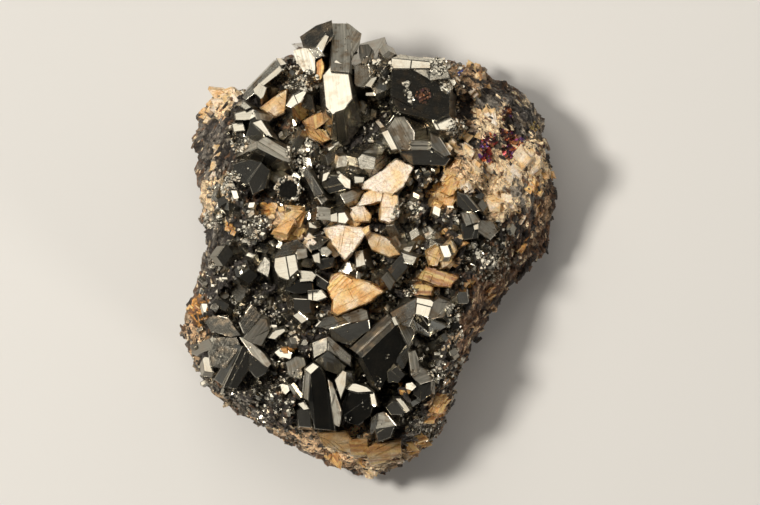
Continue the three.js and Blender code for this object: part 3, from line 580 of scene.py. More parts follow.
# %% Growth and cleavage steps
BRIGHT_WAY = Vector((math.cos(math.radians(110)) * math.sin(math.radians(18)),
                     math.sin(math.radians(110)) * math.sin(math.radians(18)), math.cos(math.radians(18))))
BRIGHT_SPREAD = math.radians(13)
BRIGHT_STEP = 0.4
SLANTS = (0.0, 0.0, 0.45, -0.45)
WHOLE_SHARE = 0.3
MOST_CORNERS = 14


def terraces(bm, seed, least_area, height, clean_tone=2.0):
    """Splits faces larger than least_area mm2 along their striations and raises one part about height mm."""
    draw = random.Random(seed)
    tone = bm.faces.layers.float.get("tone")
    large = [face for face in bm.faces
             if face.calc_area() > least_area * MM * MM and len(face.verts) < MOST_CORNERS]
    for face in sorted(large, key=by_place):
        along = edge_way(longest_edge(face))
        across = face.normal.cross(along)
        slant = (across + along * draw.choice(SLANTS)).normalized()
        bright = face.normal.angle(BRIGHT_WAY) < BRIGHT_SPREAD
        if bright:
            slant = along
        if draw.random() < WHOLE_SHARE or (tone and face[tone] >= clean_tone):
            continue
        middle = face.calc_center_median()
        reach = max(abs((vert.co - middle).dot(slant)) for vert in face.verts)
        cut = bmesh.ops.bisect_plane(bm, geom=[face, *face.edges, *face.verts], dist=1e-7, plane_no=slant,
                                     plane_co=middle + slant * reach * draw.uniform(-0.55, 0.55))
        parts = [item for item in cut["geom"] if isinstance(item, bmesh.types.BMFace)]
        if len(parts) < 2:
            continue
        part = draw.choice(sorted(parts, key=by_place))
        way = part.normal * height * MM * draw.uniform(0.5, 1.2) * (BRIGHT_STEP if bright else 1.0)
        raised = bmesh.ops.extrude_face_region(bm, geom=[part])
        moved = [item for item in raised["geom"] if isinstance(item, bmesh.types.BMVert)]
        bmesh.ops.translate(bm, verts=moved, vec=way)
        if part.is_valid:
            bmesh.ops.delete(bm, geom=[part], context="FACES_ONLY")
    put_in_order(bm)


print("shared bright way:", [round(value, 3) for value in BRIGHT_WAY])

# %% [markdown]
# ## Polish and tone of the faces
# Which faces of tennantite are mirrors isn't chance: the end faces are, and of the long sides those that
# face west, while the eastern ones are striated. A rule by direction therefore gives most faces their
# polish, and each face gets a random tone. The faces that stand out on this specimen are listed by place;
# their tone is painted light on the paler ones and painted shade on the darker ones.

# %% Polish and tone of the faces
NAMED_FACES = [
    # x mm, y mm, polish, tone: pale as painted light, dark as painted shade
    (-16.4, 12.4, 0.95, 0.1), (10.8, 32.4, 0.6, 0.22), (-11.2, -28.6, 0.97, 0.1), (-2.6, -30.6, 0.97, 0.1),
    (2.8, -19.6, 0.95, 0.1), (-3.2, -18.6, 0.3, 0.12), (-28.2, -19.6, 0.5, 0.05), (-23.2, -17.6, 0.15, 0.4),
    (-30.0, -15.2, 0.5, 0.08), (-24.2, -12.8, 0.5, 0.1), (-4.2, 40.4, 0.1, 0.8), (5.8, 21.4, 0.2, 1.0),
    (2.8, -34.6, 0.35, 1.0), (-10.6, -18.6, 0.4, 0.08), (-19.2, 20.8, 0.3, 0.9), (-27.6, 20.8, 0.9, 0.1),
    (-23.0, 18.6, 0.9, 0.15), (-7.2, 31.4, 0.8, 0.92), (-13.2, 38.4, 0.2, 1.0), (-29.8, -19.4, 0.75, 0.1),
    (-1.4, 38.2, 0.3, 0.15), (0.2, 38.8, 0.4, 0.15), (-11.8, 43.4, 0.5, 0.12),
]


def face_polish(normal, draw):
    """How polished a tennantite face is: mirrors on the shared end faces, striated on the eastern sides."""
    if normal.angle(BRIGHT_WAY, math.pi) < BRIGHT_SPREAD:
        return draw.uniform(0.75, 0.95)
    azimuth = math.degrees(math.atan2(normal.y, normal.x)) % 360
    if azimuth < 100 or azimuth > 345:
        return draw.uniform(0.1, 0.5)
    if azimuth > 200:
        return draw.uniform(0.85, 1.0)
    return draw.uniform(0.4, 0.8)


def look_at_faces(bm, seed):
    """Writes each face's polish and a random tone; a named face, the one first met straight below its spot,
    gets its listed polish and a painted tone, paler as painted light and darker as painted shade.
    """
    draw = random.Random(seed)
    polish = bm.faces.layers.float.new("polish")
    tone = bm.faces.layers.float.new("tone")
    for face in bm.faces:
        face[polish] = face_polish(face.normal, draw)
        face[tone] = draw.uniform(0.4, 0.89)
    bm.faces.ensure_lookup_table()
    tree = BVHTree.FromBMesh(bm)
    # Listed faces get a painted tone: the paler ones are painted light, the darker ones painted shade.
    for x, y, named_polish, painted_tone in NAMED_FACES:
        index = tree.ray_cast(Vector((x, y, 60)) * MM, Vector((0, 0, -1)))[2]
        if index is not None:
            bm.faces[index][polish] = named_polish
            bm.faces[index][tone] = painted_tone
    return tree


print("named faces:", len(NAMED_FACES))

# %% [markdown]
# ## The dressed crystals
# Now every crystal solid gets its copy. The siderite pieces take several rounds of steps, each finer than
# the one before, because cleavage breaks them all over. Tennantite takes one round, and its palest faces
# stay whole.

# %% The dressed crystals
WARMTH = {
    # piece: warmth, body brightness
    "siderite_amber_grain": (0.88, 1.0), "siderite_wedge": (0.42, 0.6), "siderite_amber_pair": (0.62, 0.5),
    "siderite_fan": (0.12, 1.0), "siderite_kite": (0.16, 1.0), "siderite_pink_block": (0.35, 0.8),
    "siderite_long_ridge": (0.36, 0.55), "siderite_saddle": (0.52, 1.0),
    "siderite_right_rhomb": (0.76, 0.35), "siderite_right_chip": (0.6, 0.5),
    "siderite_right_pair": (0.4, 0.5), "siderite_bottom_blocks": (0.46, 0.15),
}
SIDERITE_STEPS = ((3.0, 0.2), (2.0, 0.14), (1.4, 0.1), (1.4, 0.08))  # least area mm2, height mm
TENNANTITE_STEP = (7.0, 0.14)
CLEAN_TONE = 0.9
SPIKE_REACH = 0.28 * MM
MIDDLE_TONE = 0.65
FIRST_SEED = 100


def dressed(node, seed):
    """The dressed mesh of one crystal solid."""
    bm = merged_copy(node)
    map_faces(bm, seed)
    tree = look_at_faces(bm, seed + 1)
    if node in WARMTH:
        tone = bm.faces.layers.float["tone"]
        polish = bm.faces.layers.float["polish"]
        for face in bm.faces:
            face[tone] = WARMTH[node][0] + (face[tone] - MIDDLE_TONE) * 0.5
            face[polish] = WARMTH[node][1]
        for step, (least_area, height) in enumerate(SIDERITE_STEPS):
            terraces(bm, seed + step, least_area, height)
    else:
        terraces(bm, seed, *TENNANTITE_STEP, CLEAN_TONE)
    bm.normal_update()
    bevel_long_edges(bm, EDGE_WIDTH)
    pull_in_spikes(bm, tree, SPIKE_REACH)
    mesh = bpy.data.meshes.new(node + "_dressed")
    bm.to_mesh(mesh)
    bm.free()
    return mesh


for number, node in enumerate(CRYSTAL_NODES):
    slot, finish = ("siderite", SIDERITE) if node in WARMTH else ("tennantite", TENNANTITE)
    put_piece(node + "_dressed", dressed(node, FIRST_SEED + number), finish, [node])
print("dressed crystals:", len(CRYSTAL_NODES))

# %% [markdown]
# ## The rock's surface
# The rock is broken siderite and sulfide: flat little cleavage blocks at every scale. A voxel remesh gives
# the solid an even skin of small faces, and each point is then moved along its normal. Voronoi cells with a
# random tilt in each cell read as broken blocks, where plain noise would read as clay. The flat back isn't
# moved. The vector noise starts from a new place in every run unless it is given a seed.

# %% The rock's surface
VOXEL = 0.55 * MM
HEEL_START = 0.3
HEEL_HEIGHT = 2.5
BED_LENGTH = 12.0
NOISE_SEED = 7
noise.seed_set(NOISE_SEED)


def voxel_skin(node):
    """An even fine mesh over a copy of a solid."""
    mesh = bpy.data.meshes.new("rock_skin")
    bm = merged_copy(node)
    bm.to_mesh(mesh)
    bm.free()
    shell = bpy.data.objects.new("rock_skin", mesh)
    bpy.context.scene.collection.objects.link(shell)
    remesh = shell.modifiers.new("voxels", "REMESH")
    remesh.mode = "VOXEL"
    remesh.voxel_size = VOXEL
    fine = bpy.data.meshes.new_from_object(shell.evaluated_get(bpy.context.evaluated_depsgraph_get()))
    bpy.data.objects.remove(shell)
    return fine


def bedded(place):
    """The place on a map whose x runs round the specimen and is shortened, to draw patterns out that way."""
    return Vector((math.atan2(place.y, place.x) * BED_LENGTH, math.hypot(place.x, place.y), place.z))


def broken_blocks(place, cells_per_mm, tilt_size, step_size):
    """How far a point stands out on rock broken into tilted cells."""
    spot = place * cells_per_mm
    cell = noise.voronoi(spot)[1][0]
    tilt = noise.cell_vector(cell * 7.3) - Vector((0.5, 0.5, 0.5))
    return (spot - cell).dot(tilt) * tilt_size + (noise.cell(cell * 5.1) - 0.5) * step_size


def rock_relief(place):
    """The outward move of a point of the rock, in millimetres."""
    drift = place + noise.noise_vector(place * 0.22) * 1.5
    broad = noise.fractal(place * 0.13, 1.0, 2.0, 3) * 0.7
    blocks = broken_blocks(drift, cells_per_mm=0.34, tilt_size=1.7, step_size=0.8)
    beds = broken_blocks(bedded(place), cells_per_mm=1.0, tilt_size=0.9, step_size=0.5)
    return broad + blocks * 0.7 + beds - 0.25


rock_mesh = voxel_skin("matrix")
for vertex, normal in zip(rock_mesh.vertices, [n.vector.copy() for n in rock_mesh.vertex_normals]):
    place = vertex.co / MM
    grip = min(max((place.z - HEEL_START) / HEEL_HEIGHT, 0.0), 1.0)
    vertex.co += normal * rock_relief(place) * grip * MM
print("rock skin faces:", len(rock_mesh.polygons))

# %% [markdown]
# ## The rock's patches
# Seen from above the rock has clear regions: a tan crest and a cream seam on the left wall, tan ledges on
# the right shoulder, a dark striped right flank, and a dark bed under the crystals. Each region is one row:
# where it is, how far it reaches and its colour. A point takes the region that is nearest for its reach,
# and some noise roughens the borders. Low down, where the regions end, veins of a few shades run through
# the rock.

# %% The rock's patches
CREAM = (0.93, 0.73, 0.47)
TAN = (0.82, 0.56, 0.33)
HONEY = (0.75, 0.36, 0.09)
BROWN = (0.2, 0.11, 0.06)
GREY = (0.24, 0.215, 0.18)
DARK = (0.05, 0.043, 0.038)
PALE_SIDE = (DARK, BROWN, GREY, BROWN, GREY, CREAM)
DARK_SIDE = (BROWN, DARK, DARK, BROWN, TAN, DARK)
LOW_FROM = 17.0
LOW_BLEND = 8.0
PATCHES = [
    # x mm, y mm, reach mm, colour, streak colour, share of streaks
    (-30.5, 31.0, 4.5, TAN, CREAM, 0.5), (-34.0, 21.0, 7.0, GREY, DARK, 0.5),
    (-31.5, 12.0, 3.2, CREAM, TAN, 0.4), (-31.5, 3.0, 4.0, DARK, GREY, 0.45),
    # These two rows on the lower left wall have dark streaks at a high share: painted shade on that wall;
    # their base colours are the rock's own.
    (-36.0, -11.5, 2.6, HONEY, BROWN, 0.5), (-36.5, -17.0, 3.5, TAN, DARK, 0.5),
    (-26.0, -30.0, 7.0, GREY, DARK, 0.4), (-29.5, -31.0, 3.2, TAN, CREAM, 0.4),
    (-25.0, -35.5, 3.4, TAN, DARK, 0.4), (-19.5, -38.5, 3.6, TAN, CREAM, 0.4),
    (-12.0, -40.5, 4.5, TAN, DARK, 0.4), (-4.0, -41.5, 7.0, TAN, CREAM, 0.4),
    (5.0, -44.0, 4.0, CREAM, TAN, 0.4), (13.5, -31.0, 3.0, TAN, HONEY, 0.4),
    (11.0, -35.0, 4.0, GREY, DARK, 0.4), (10.0, -40.0, 3.6, TAN, CREAM, 0.4),
    (18.5, -27.0, 5.0, TAN, BROWN, 0.45), (19.0, -17.0, 4.0, BROWN, TAN, 0.4),
    (24.5, -9.0, 4.5, BROWN, TAN, 0.35), (33.0, -3.0, 6.0, BROWN, TAN, 0.25),
    (30.0, 4.0, 6.0, DARK, BROWN, 0.5), (35.5, 6.5, 4.0, BROWN, TAN, 0.5), (27.0, 8.0, 3.5, CREAM, TAN, 0.4),
    (24.0, 26.5, 4.0, CREAM, TAN, 0.2), (31.5, 19.5, 4.2, CREAM, CREAM, 0.0),
    (30.5, 27.0, 5.4, DARK, GREY, 0.35), (34.5, 24.0, 2.5, GREY, TAN, 0.4),
    (18.0, 16.5, 5.0, TAN, CREAM, 0.5), (24.0, 14.5, 4.0, CREAM, TAN, 0.3),
    (29.0, 12.0, 3.5, GREY, CREAM, 0.4), (20.0, 35.0, 5.0, TAN, DARK, 0.4),
    (24.0, 31.0, 4.0, GREY, DARK, 0.4), (-16.0, 5.5, 3.5, TAN, BROWN, 0.3),
    (14.2, 11.2, 3.6, TAN, HONEY, 0.3), (-1.8, 4.8, 2.4, TAN, BROWN, 0.3), (15.0, 0.4, 2.6, TAN, BROWN, 0.4),
    (-36.0, 16.0, 3.6, DARK, GREY, 0.4), (0.0, 0.0, 18.0, DARK, BROWN, 0.2),
    (-12.0, -18.0, 18.0, DARK, BROWN, 0.2), (2.0, 20.0, 20.0, DARK, TAN, 0.15),
    (-16.0, 22.0, 14.0, DARK, BROWN, 0.3), (6.0, -24.0, 14.0, DARK, BROWN, 0.2),
]


def is_streak(place, share):
    """Whether a point lies on a streak, where streaks fill about this share of the rock."""
    bed = bedded(place)
    bend = noise.noise_vector(place * 0.3) * 0.7
    level = noise.noise(Vector((bed.x * 0.6, bed.y * 1.1, bed.z * 0.5)) + bend)
    return level * 0.5 + 0.5 < share * 0.9 + 0.05


def patch_colour(place):
    """The rock's own colour at a point, from the region that reaches it best."""
    drift = place + noise.noise_vector(place * 0.3) * 2.2 + noise.noise_vector(place * 1.1) * 0.8
    best = min(PATCHES, key=lambda row: math.hypot(drift.x - row[0], drift.y - row[1]) / row[2])
    colour = Vector(best[4] if is_streak(place, best[5]) else best[3])
    low = min(max((LOW_FROM - place.z) / LOW_BLEND, 0.0), 1.0)
    vein = noise.fractal(place * 0.14, 0.9, 2.1, 4)
    shades = DARK_SIDE if place.x > 16 and place.y < 16 else PALE_SIDE
    deep = shades[min(max(int(vein * 5.0 + 2.6), 0), 5)]
    return colour.lerp(Vector(deep), low)


patch = rock_mesh.attributes.new("patch", "FLOAT_COLOR", "POINT")
patch.data.foreach_set("color", np.array([(*patch_colour(v.co / MM), 1) for v in rock_mesh.vertices],
                                         np.float32).ravel())
put_piece("rock", rock_mesh, ROCK, ["matrix"])
print("patches:", len(PATCHES))

# %% [markdown]
# ## Small crystals and chips to scatter
# Hundreds of small tennantite crystals fill the gaps between the large ones. Their shape is the mineral's
# own: a dodecahedron, stretched along a corner it becomes a six-sided prism with a three-faced tip, and cut
# by a tetrahedron it gets large triangles. A cube trimmed by planes makes each of them, because a planar
# cut leaves exactly flat faces. The tiniest are plain tetrahedra with cut corners, and the rock's grains
# are chips cut by random planes. A few variants of each are enough, since every copy is turned its own way.

# %% Small crystals and chips to scatter
CORNERS = [Vector(v).normalized() for v in ((1, 1, 1), (1, -1, -1), (-1, 1, -1), (-1, -1, 1))]
CHIP_BLOCK = 1.7
CHIP_CUTS = 7
VARIANTS = 6
SHARP_EDGES = 0.0
WORN_EDGES = 0.05


def edge_direction(flat_axis, a, b):
    """One of the twelve directions in which a dodecahedron's faces look."""
    parts = [a, b]
    parts.insert(flat_axis, 0)
    return Vector(parts).normalized()


DIAGONALS = [edge_direction(axis, a, b) for axis in (2, 1, 0) for a in (1, -1) for b in (1, -1)]


def trimmed(cuts, bevel=0.0, block=6.0):
    """A crystal bounded by planes: each cut is an outward direction and a distance from the centre."""
    bm = bmesh.new()
    bmesh.ops.create_cube(bm, size=block)
    for direction, distance in cuts:
        cut = bmesh.ops.bisect_plane(bm, geom=bm.verts[:] + bm.edges[:] + bm.faces[:], dist=1e-5,
                                     plane_co=direction * distance, plane_no=direction, clear_outer=True)
        rim = [item for item in cut["geom_cut"] if isinstance(item, bmesh.types.BMEdge)]
        if rim:
            bmesh.ops.contextual_create(bm, geom=rim)
    bmesh.ops.remove_doubles(bm, verts=bm.verts, dist=1e-3)
    bmesh.ops.dissolve_degenerate(bm, dist=1e-3, edges=bm.edges)
    bmesh.ops.recalc_face_normals(bm, faces=bm.faces)
    if bevel:
        bmesh.ops.bevel(bm, geom=bm.edges[:], offset=bevel, offset_type="OFFSET", segments=1, profile=0.5,
                        affect="EDGES", clamp_overlap=True, material=-1)
    mesh = bpy.data.meshes.new("small_crystal")
    bm.to_mesh(mesh)
    bm.free()
    return mesh


def small_crystals(seed, bevel):
    """Variants about 2 units across, standing on the z axis: dodecahedra, prisms and tetrahedra."""
    draw = random.Random(seed)
    made = []
    for stretch in (1.0, 1.0, 1.25, 1.7, 2.1):
        upright = CORNERS[0].rotation_difference(Vector((0, 0, 1)))
        cuts = []
        for way in DIAGONALS:
            side = abs(way.dot(CORNERS[0])) < 0.1
            cuts.append((upright @ way, draw.uniform(0.8, 1.0) * (1.0 if side else stretch)))
        made.append(trimmed(cuts, bevel))
    for tip in (0.62, 0.8):
        cuts = [(way, draw.uniform(0.95, 1.1)) for way in DIAGONALS]
        cuts += [(way, tip * draw.uniform(0.9, 1.1)) for way in CORNERS]
        made.append(trimmed(cuts, bevel))
    return made


def any_way(draw):
    """A random direction, not yet one unit long."""
    return Vector((draw.gauss(0, 1), draw.gauss(0, 1), draw.gauss(0, 1)))


def chips(seed):
    """Irregular broken grains of rock about 2 units across."""
    draw = random.Random(seed)
    made = []
    for number in range(VARIANTS):
        cuts = [(any_way(draw).normalized(), draw.uniform(0.7, 1.0)) for cut in range(CHIP_CUTS)]
        made.append(trimmed(cuts, 0.0, CHIP_BLOCK))
    return made


def tetrahedra(seed):
    """The plainest crystals: tetrahedra with their four corners cut off."""
    draw = random.Random(seed)
    made = []
    for number in range(VARIANTS):
        cuts = [(way, draw.uniform(0.5, 0.65)) for way in CORNERS]
        cuts += [(-way, draw.uniform(0.8, 1.2)) for way in CORNERS]
        made.append(trimmed(cuts))
    return made


FINE_CRYSTALS = small_crystals(7, SHARP_EDGES)
DRUSE_CRYSTALS = tetrahedra(10)
BEVELLED_CRYSTALS = small_crystals(8, WORN_EDGES)
CHIPS = chips(9)
print("faces of a small crystal:", [len(mesh.polygons) for mesh in FINE_CRYSTALS])

# %% [markdown]
# ## Where the siderite ledges lie
# The ledges themselves come later, but nothing may be scattered over them, so their places are listed
# first.

# %% Where the siderite ledges lie
LEDGE_REACH = 0.42
LEDGES = [
    # x mm, y mm, length mm, width mm, turn in degrees, warmth
    (23.6, 27.0, 7.0, 2.2, -57, 0.12), (31.8, 19.0, 6.8, 3.6, -42, 0.15), (20.6, 23.6, 4.2, 2.8, 60, 0.1),
    (17.4, 20.2, 5.2, 2.8, -20, 0.15), (15.6, 15.4, 7.0, 3.2, 72, 0.45), (19.0, 12.8, 3.8, 2.2, -60, 0.0),
    (21.8, 16.4, 4.8, 3.2, -20, 0.15), (27.4, 16.2, 5.4, 3.0, -15, 0.25), (32.6, 13.4, 5.0, 2.8, -25, 0.5),
    (35.0, 15.2, 3.0, 2.2, 20, 0.2), (25.0, 9.8, 7.0, 2.6, 5, 0.12), (29.8, 7.4, 3.2, 2.2, 70, 0.1),
    (13.8, 9.6, 3.4, 2.0, -10, 0.6), (19.8, 37.2, 4.2, 2.2, -10, 0.35), (22.6, 34.2, 4.4, 2.2, -60, 0.4),
    (21.2, 31.8, 3.8, 2.4, -40, 0.15), (17.2, 12.6, 3.6, 2.0, 75, 0.3), (12.4, 12.4, 2.6, 1.8, 30, 0.5),
    (-28.8, 31.4, 5.4, 3.2, 25, 0.15), (-32.4, 28.2, 4.4, 2.6, 55, 0.25), (-31.6, 15.6, 6.0, 1.8, 85, 0.12),
    (-30.8, 20.4, 3.8, 1.8, 70, 0.3), (-28.0, 4.6, 3.8, 2.4, -20, 0.6), (-20.8, 8.8, 3.4, 2.6, 30, 0.8),
    (-15.6, 5.6, 6.8, 4.0, 70, 0.38), (-13.2, 2.4, 4.4, 2.6, -30, 0.12), (-18.2, 3.0, 3.8, 2.6, 45, 0.5),
    (-35.8, -11.6, 3.0, 2.2, 60, 0.85), (8.8, -38.4, 5.0, 3.0, 30, 0.42), (12.8, -31.0, 6.0, 3.0, 70, 0.55),
    (5.4, -42.6, 4.6, 2.4, 20, 0.2), (-8.0, -40.6, 5.0, 2.4, -25, 0.4), (-1.0, -43.0, 4.6, 2.6, -10, 0.3),
    (-16.2, -19.8, 3.2, 2.0, 20, 0.9), (6.2, -26.6, 4.0, 1.6, -60, 0.65), (19.6, -5.4, 3.4, 2.0, 75, 0.6),
    (17.8, 1.6, 3.4, 1.8, 60, 0.35), (-27.4, -33.4, 3.6, 1.8, -35, 0.35), (-21.0, -36.6, 4.2, 1.8, -30, 0.3),
    (24.0, -8.4, 3.6, 1.6, 60, 0.7), (30.6, 2.0, 5.0, 1.3, 80, 0.7), (33.4, 7.6, 4.6, 1.2, 75, 0.75),
    (-18.8, 7.6, 4.4, 3.2, 25, 0.36), (14.4, 3.4, 3.6, 2.0, 60, 0.4), (16.2, -2.4, 3.6, 1.8, 70, 0.4),
    (12.8, 9.2, 5.6, 3.0, 80, 0.5), (14.6, 12.0, 6.4, 4.2, 75, 0.3), (-2.4, 5.6, 5.0, 2.2, -50, 0.36),
]


def on_ledge(x, y):
    """Whether a spot (mm) lies on one of the siderite ledges, which stay free of crystals."""
    return any(math.hypot(x - row[0], y - row[1]) < row[2] * LEDGE_REACH for row in LEDGES)


print("ledges:", len(LEDGES))

# %% [markdown]
# ## Landing
# A copy is dropped on the specimen from straight above and stays where it first meets rock. Most kinds are
# thrown away where a large crystal is met first, and only a fine crust may settle on crystals too. A search
# tree over each group of meshes answers quickly what a drop meets.

# %% Landing
DROP_HEIGHT = 60.0
DOWN = Vector((0, 0, -1))


def bvh_of(meshes):
    """One search tree over several meshes."""
    bm = bmesh.new()
    for mesh in meshes:
        bm.from_mesh(mesh)
    tree = BVHTree.FromBMesh(bm)
    bm.free()
    return tree


ROCK_TREE = bvh_of([rock_mesh])
CRYSTAL_TREE = bvh_of([bpy.data.objects[node + "_dressed"].data for node in CRYSTAL_NODES])
SIDERITE_TREE = bvh_of([bpy.data.objects[node + "_dressed"].data for node in WARMTH])


def landing(x, y, on_crystals=False):
    """Where a drop at x, y (mm) lands, with the normal there, or nothing if it meets an unwanted crystal."""
    start = Vector((x, y, DROP_HEIGHT)) * MM
    spot, normal, index, fall = ROCK_TREE.ray_cast(start, DOWN)
    crystal_spot, crystal_normal, index, crystal_fall = CRYSTAL_TREE.ray_cast(start, DOWN)
    if crystal_fall is not None and (fall is None or crystal_fall < fall):
        return (crystal_spot, crystal_normal) if on_crystals else None
    return (spot, normal) if spot is not None else None


print("height at the middle mm:", round(landing(0, 0, True)[0].z / MM, 1))

# %% [markdown]
# ## Scattering
# Each try has its own random numbers, so a change to one copy doesn't move the others. All copies of one
# kind are gathered in one mesh, because thousands of objects would be slow. A crystal may be turned so that
# one face looks the shared bright way, which is what makes a crust glitter. Rock chips are laid flat with
# their long side round the specimen instead. Siderite pieces and mirror faces are kept clean of the finest
# dust.

# %% Scattering
SEED_STEP = 100000
SMALL_BIAS = 2.2
TOUCHING = 0.05 * MM
CLUSTER_SCALE = 0.3


def turned(normal, draw, lean):
    """A random turn that stands a copy along the normal, leaning by up to an angle."""
    up = (normal + any_way(draw) * lean).normalized()
    return up.to_track_quat("Z", "Y").to_matrix() @ Matrix.Rotation(draw.uniform(0, 2 * math.pi), 3, "Z")


def laid_along(spot, normal, draw):
    """A turn that lays a copy flat with its long side round the specimen, as the rock is bedded."""
    round_way = Vector((-spot.y, spot.x, 0)).normalized() + any_way(draw) * 0.2
    long_way = (round_way - normal * round_way.dot(normal)).normalized()
    return Matrix((long_way, normal.cross(long_way), normal)).transposed()


def gather(name, placed, material):
    """One piece from many placed copies: rows of (prototype, placing matrix, tone, polish, colour)."""
    bm = bmesh.new()
    for prototype, matrix, tone, polish, colour in placed:
        copy = prototype.copy()
        copy.transform(matrix)
        bm.from_mesh(copy)
        bpy.data.meshes.remove(copy)
    map_faces(bm, 5)
    mesh = bpy.data.meshes.new(name)
    bm.to_mesh(mesh)
    bm.free()
    counts = [len(row[0].polygons) for row in placed]
    set_faces(mesh, "tone", np.repeat([row[2] for row in placed], counts))
    set_faces(mesh, "polish", np.repeat([row[3] for row in placed], counts))
    colours = np.array([(*row[4], 1) for row in placed], np.float32)
    made = mesh.attributes.new("patch", "FLOAT_COLOR", "FACE")
    made.data.foreach_set("color", np.repeat(colours, counts, axis=0).ravel())
    print(name, "copies:", len(placed), "faces:", sum(counts))
    return put_piece(name, mesh, material)


def scatter(seed, tries, circles, prototypes, sizes, lean, sink=0.25, flash=0.0, colour_of=None,
            on_crystals=False, least_rise=0.0, clusters=None, stretch=None, tones=(0.2, 1.0)):
    """Copies placed inside some circles, with radii (mm) drawn from a range; some face the bright way."""
    placed = []
    for number in range(tries):
        draw = random.Random(seed * SEED_STEP + number)
        cx, cy, radius, hollow = draw.choices(circles, weights=[row[2] ** 2 for row in circles])[0]
        angle = draw.uniform(0, 2 * math.pi)
        reach = radius * math.sqrt(draw.uniform(hollow ** 2, 1.0))
        found = landing(cx + reach * math.cos(angle), cy + reach * math.sin(angle), on_crystals)
        if found is None or found[1].z < least_rise:
            continue
        spot, normal = found
        if clusters is not None:
            crowding = noise.noise(spot / MM * CLUSTER_SCALE + Vector((seed, 0, 0)))
            on_siderite = SIDERITE_TREE.find_nearest(spot)[3] < TOUCHING
            if crowding < clusters or on_siderite or normal.angle(BRIGHT_WAY) < BRIGHT_SPREAD:
                continue
        size = sizes[0] + (sizes[1] - sizes[0]) * draw.random() ** SMALL_BIAS
        prototype = draw.choice(prototypes)
        turn = turned(normal, draw, lean)
        if draw.random() < flash:
            face = draw.choice(prototype.polygons).normal
            turn = face.rotation_difference(BRIGHT_WAY).to_matrix()
        shape = Matrix.Scale(size * MM, 4)
        if stretch is not None:
            turn = laid_along(spot, normal, draw)
            shape = Matrix.Diagonal((*(Vector(stretch) * size * MM), 1))
        place = Matrix.Translation(spot + normal * size * MM * sink) @ turn.to_4x4() @ shape
        colour = colour_of(spot / MM, draw) if colour_of else GREY
        tone = draw.uniform(*tones)
        polish = draw.uniform(0.3, 0.95)
        if prototypes is CHIPS or not on_ledge(spot.x / MM, spot.y / MM):
            placed.append((prototype, place, tone, polish, colour))
    return placed


# %% [markdown]
# ## Middle-sized crystals between the large ones
# Crystals of one and a half to four millimetres across crowd the gaps. Circles say where, and their places
# inside are left to chance. They are large enough for their bevelled edges to show.

# %% Middle-sized crystals between the large ones
MEDIUM_CIRCLES = [
    # x mm, y mm, radius mm, hollow share of the radius
    (-6, 36, 10, 0), (7, 31, 6, 0), (-18, 26, 10, 0), (0, 22, 15, 0), (-20, 10, 11, 0), (2, 5, 15, 0),
    (-22, -6, 11, 0), (4, -10, 14, 0), (20, 2, 5, 0), (-8, -20, 11, 0), (8, -24, 8, 0),
]
medium = scatter(seed=21, tries=520, circles=MEDIUM_CIRCLES, prototypes=BEVELLED_CRYSTALS, sizes=(0.8, 2.0),
                 lean=0.5, flash=0.25, least_rise=0.4)
gather("medium_crystals", medium, TENNANTITE)

# %% [markdown]
# ## The glittering crust
# Everything between the crystals is coated with tiny ones. A thin even crust comes first. The druse then
# adds thick nests of tetrahedra in marked spots, a coat on the lower slopes, and a dust in clusters, and it
# may grow on the large crystals too. Two pieces are made, because a single one would have too many faces.

# %% The glittering crust
CRUST_CIRCLES = [
    # x mm, y mm, radius mm, hollow share of the radius
    (-6, 36, 11, 0), (10, 33, 9, 0), (-18, 26, 11, 0), (0, 22, 16, 0), (-20, 10, 12, 0), (2, 5, 16, 0),
    (-22, -8, 12, 0), (4, -10, 15, 0), (20, 2, 7, 0), (-25, -19, 11, 0), (-8, -25, 13, 0), (10, -24, 9, 0),
    (0, -32, 7, 0),
]
CRUSTED = [
    # x mm, y mm, radius mm, hollow share of the radius
    (-27.6, 14.6, 1.6, 0), (-15.8, 34.8, 2.4, 0), (-26.2, 22.0, 2.0, 0), (-31.8, 6.4, 2.0, 0),
    (7.4, -7.0, 2.0, 0), (-30.8, -2.0, 1.6, 0), (-27.8, -11.2, 1.8, 0), (-17.4, -18.6, 1.3, 0),
    (-17.8, -27.0, 1.6, 0), (-25.0, 3.0, 2.0, 0), (2.8, -10.0, 2.0, 0), (16.6, -12.0, 1.8, 0),
    (16.8, -16.5, 1.6, 0), (13.2, -23.4, 2.0, 0), (2.6, 36.8, 1.7, 0), (-13.6, 19.4, 3.2, 0),
    (-12.6, 34.0, 2.2, 0), (-22.2, 4.0, 3.6, 0), (7.0, 7.4, 2.8, 0), (7.0, 7.0, 2.0, 0),
    (13.5, 37.0, 1.8, 0), (14.8, 33.0, 1.2, 0), (7.0, 33.4, 0.7, 0), (7.3, 31.8, 0.9, 0),
    (8.0, 30.3, 0.7, 0), (24.4, -2.4, 3.6, 0), (10.4, -35.0, 3.6, 0), (-30.0, 13.0, 2.5, 0),
    (-16.4, 12.4, 2.7, 0.72), (17.0, 24.5, 2.0, 0),
]
SLOPE = [
    # x mm, y mm, radius mm, hollow share of the radius
    (-24, -30, 6, 0), (-17, -34, 5, 0), (-30, -24, 4, 0), (14, -30, 5, 0), (24, 0, 6, 0),
]
crust = scatter(seed=22, tries=6500, circles=CRUST_CIRCLES, prototypes=FINE_CRYSTALS, sizes=(0.18, 0.7),
                lean=0.8, flash=0.45, least_rise=0.15)
gather("crystal_crust", crust, TENNANTITE)
nests = scatter(seed=23, tries=5600, circles=CRUSTED, prototypes=DRUSE_CRYSTALS, sizes=(0.16, 0.42),
                lean=0.9, flash=0.65, on_crystals=True, tones=(0.15, 0.85))
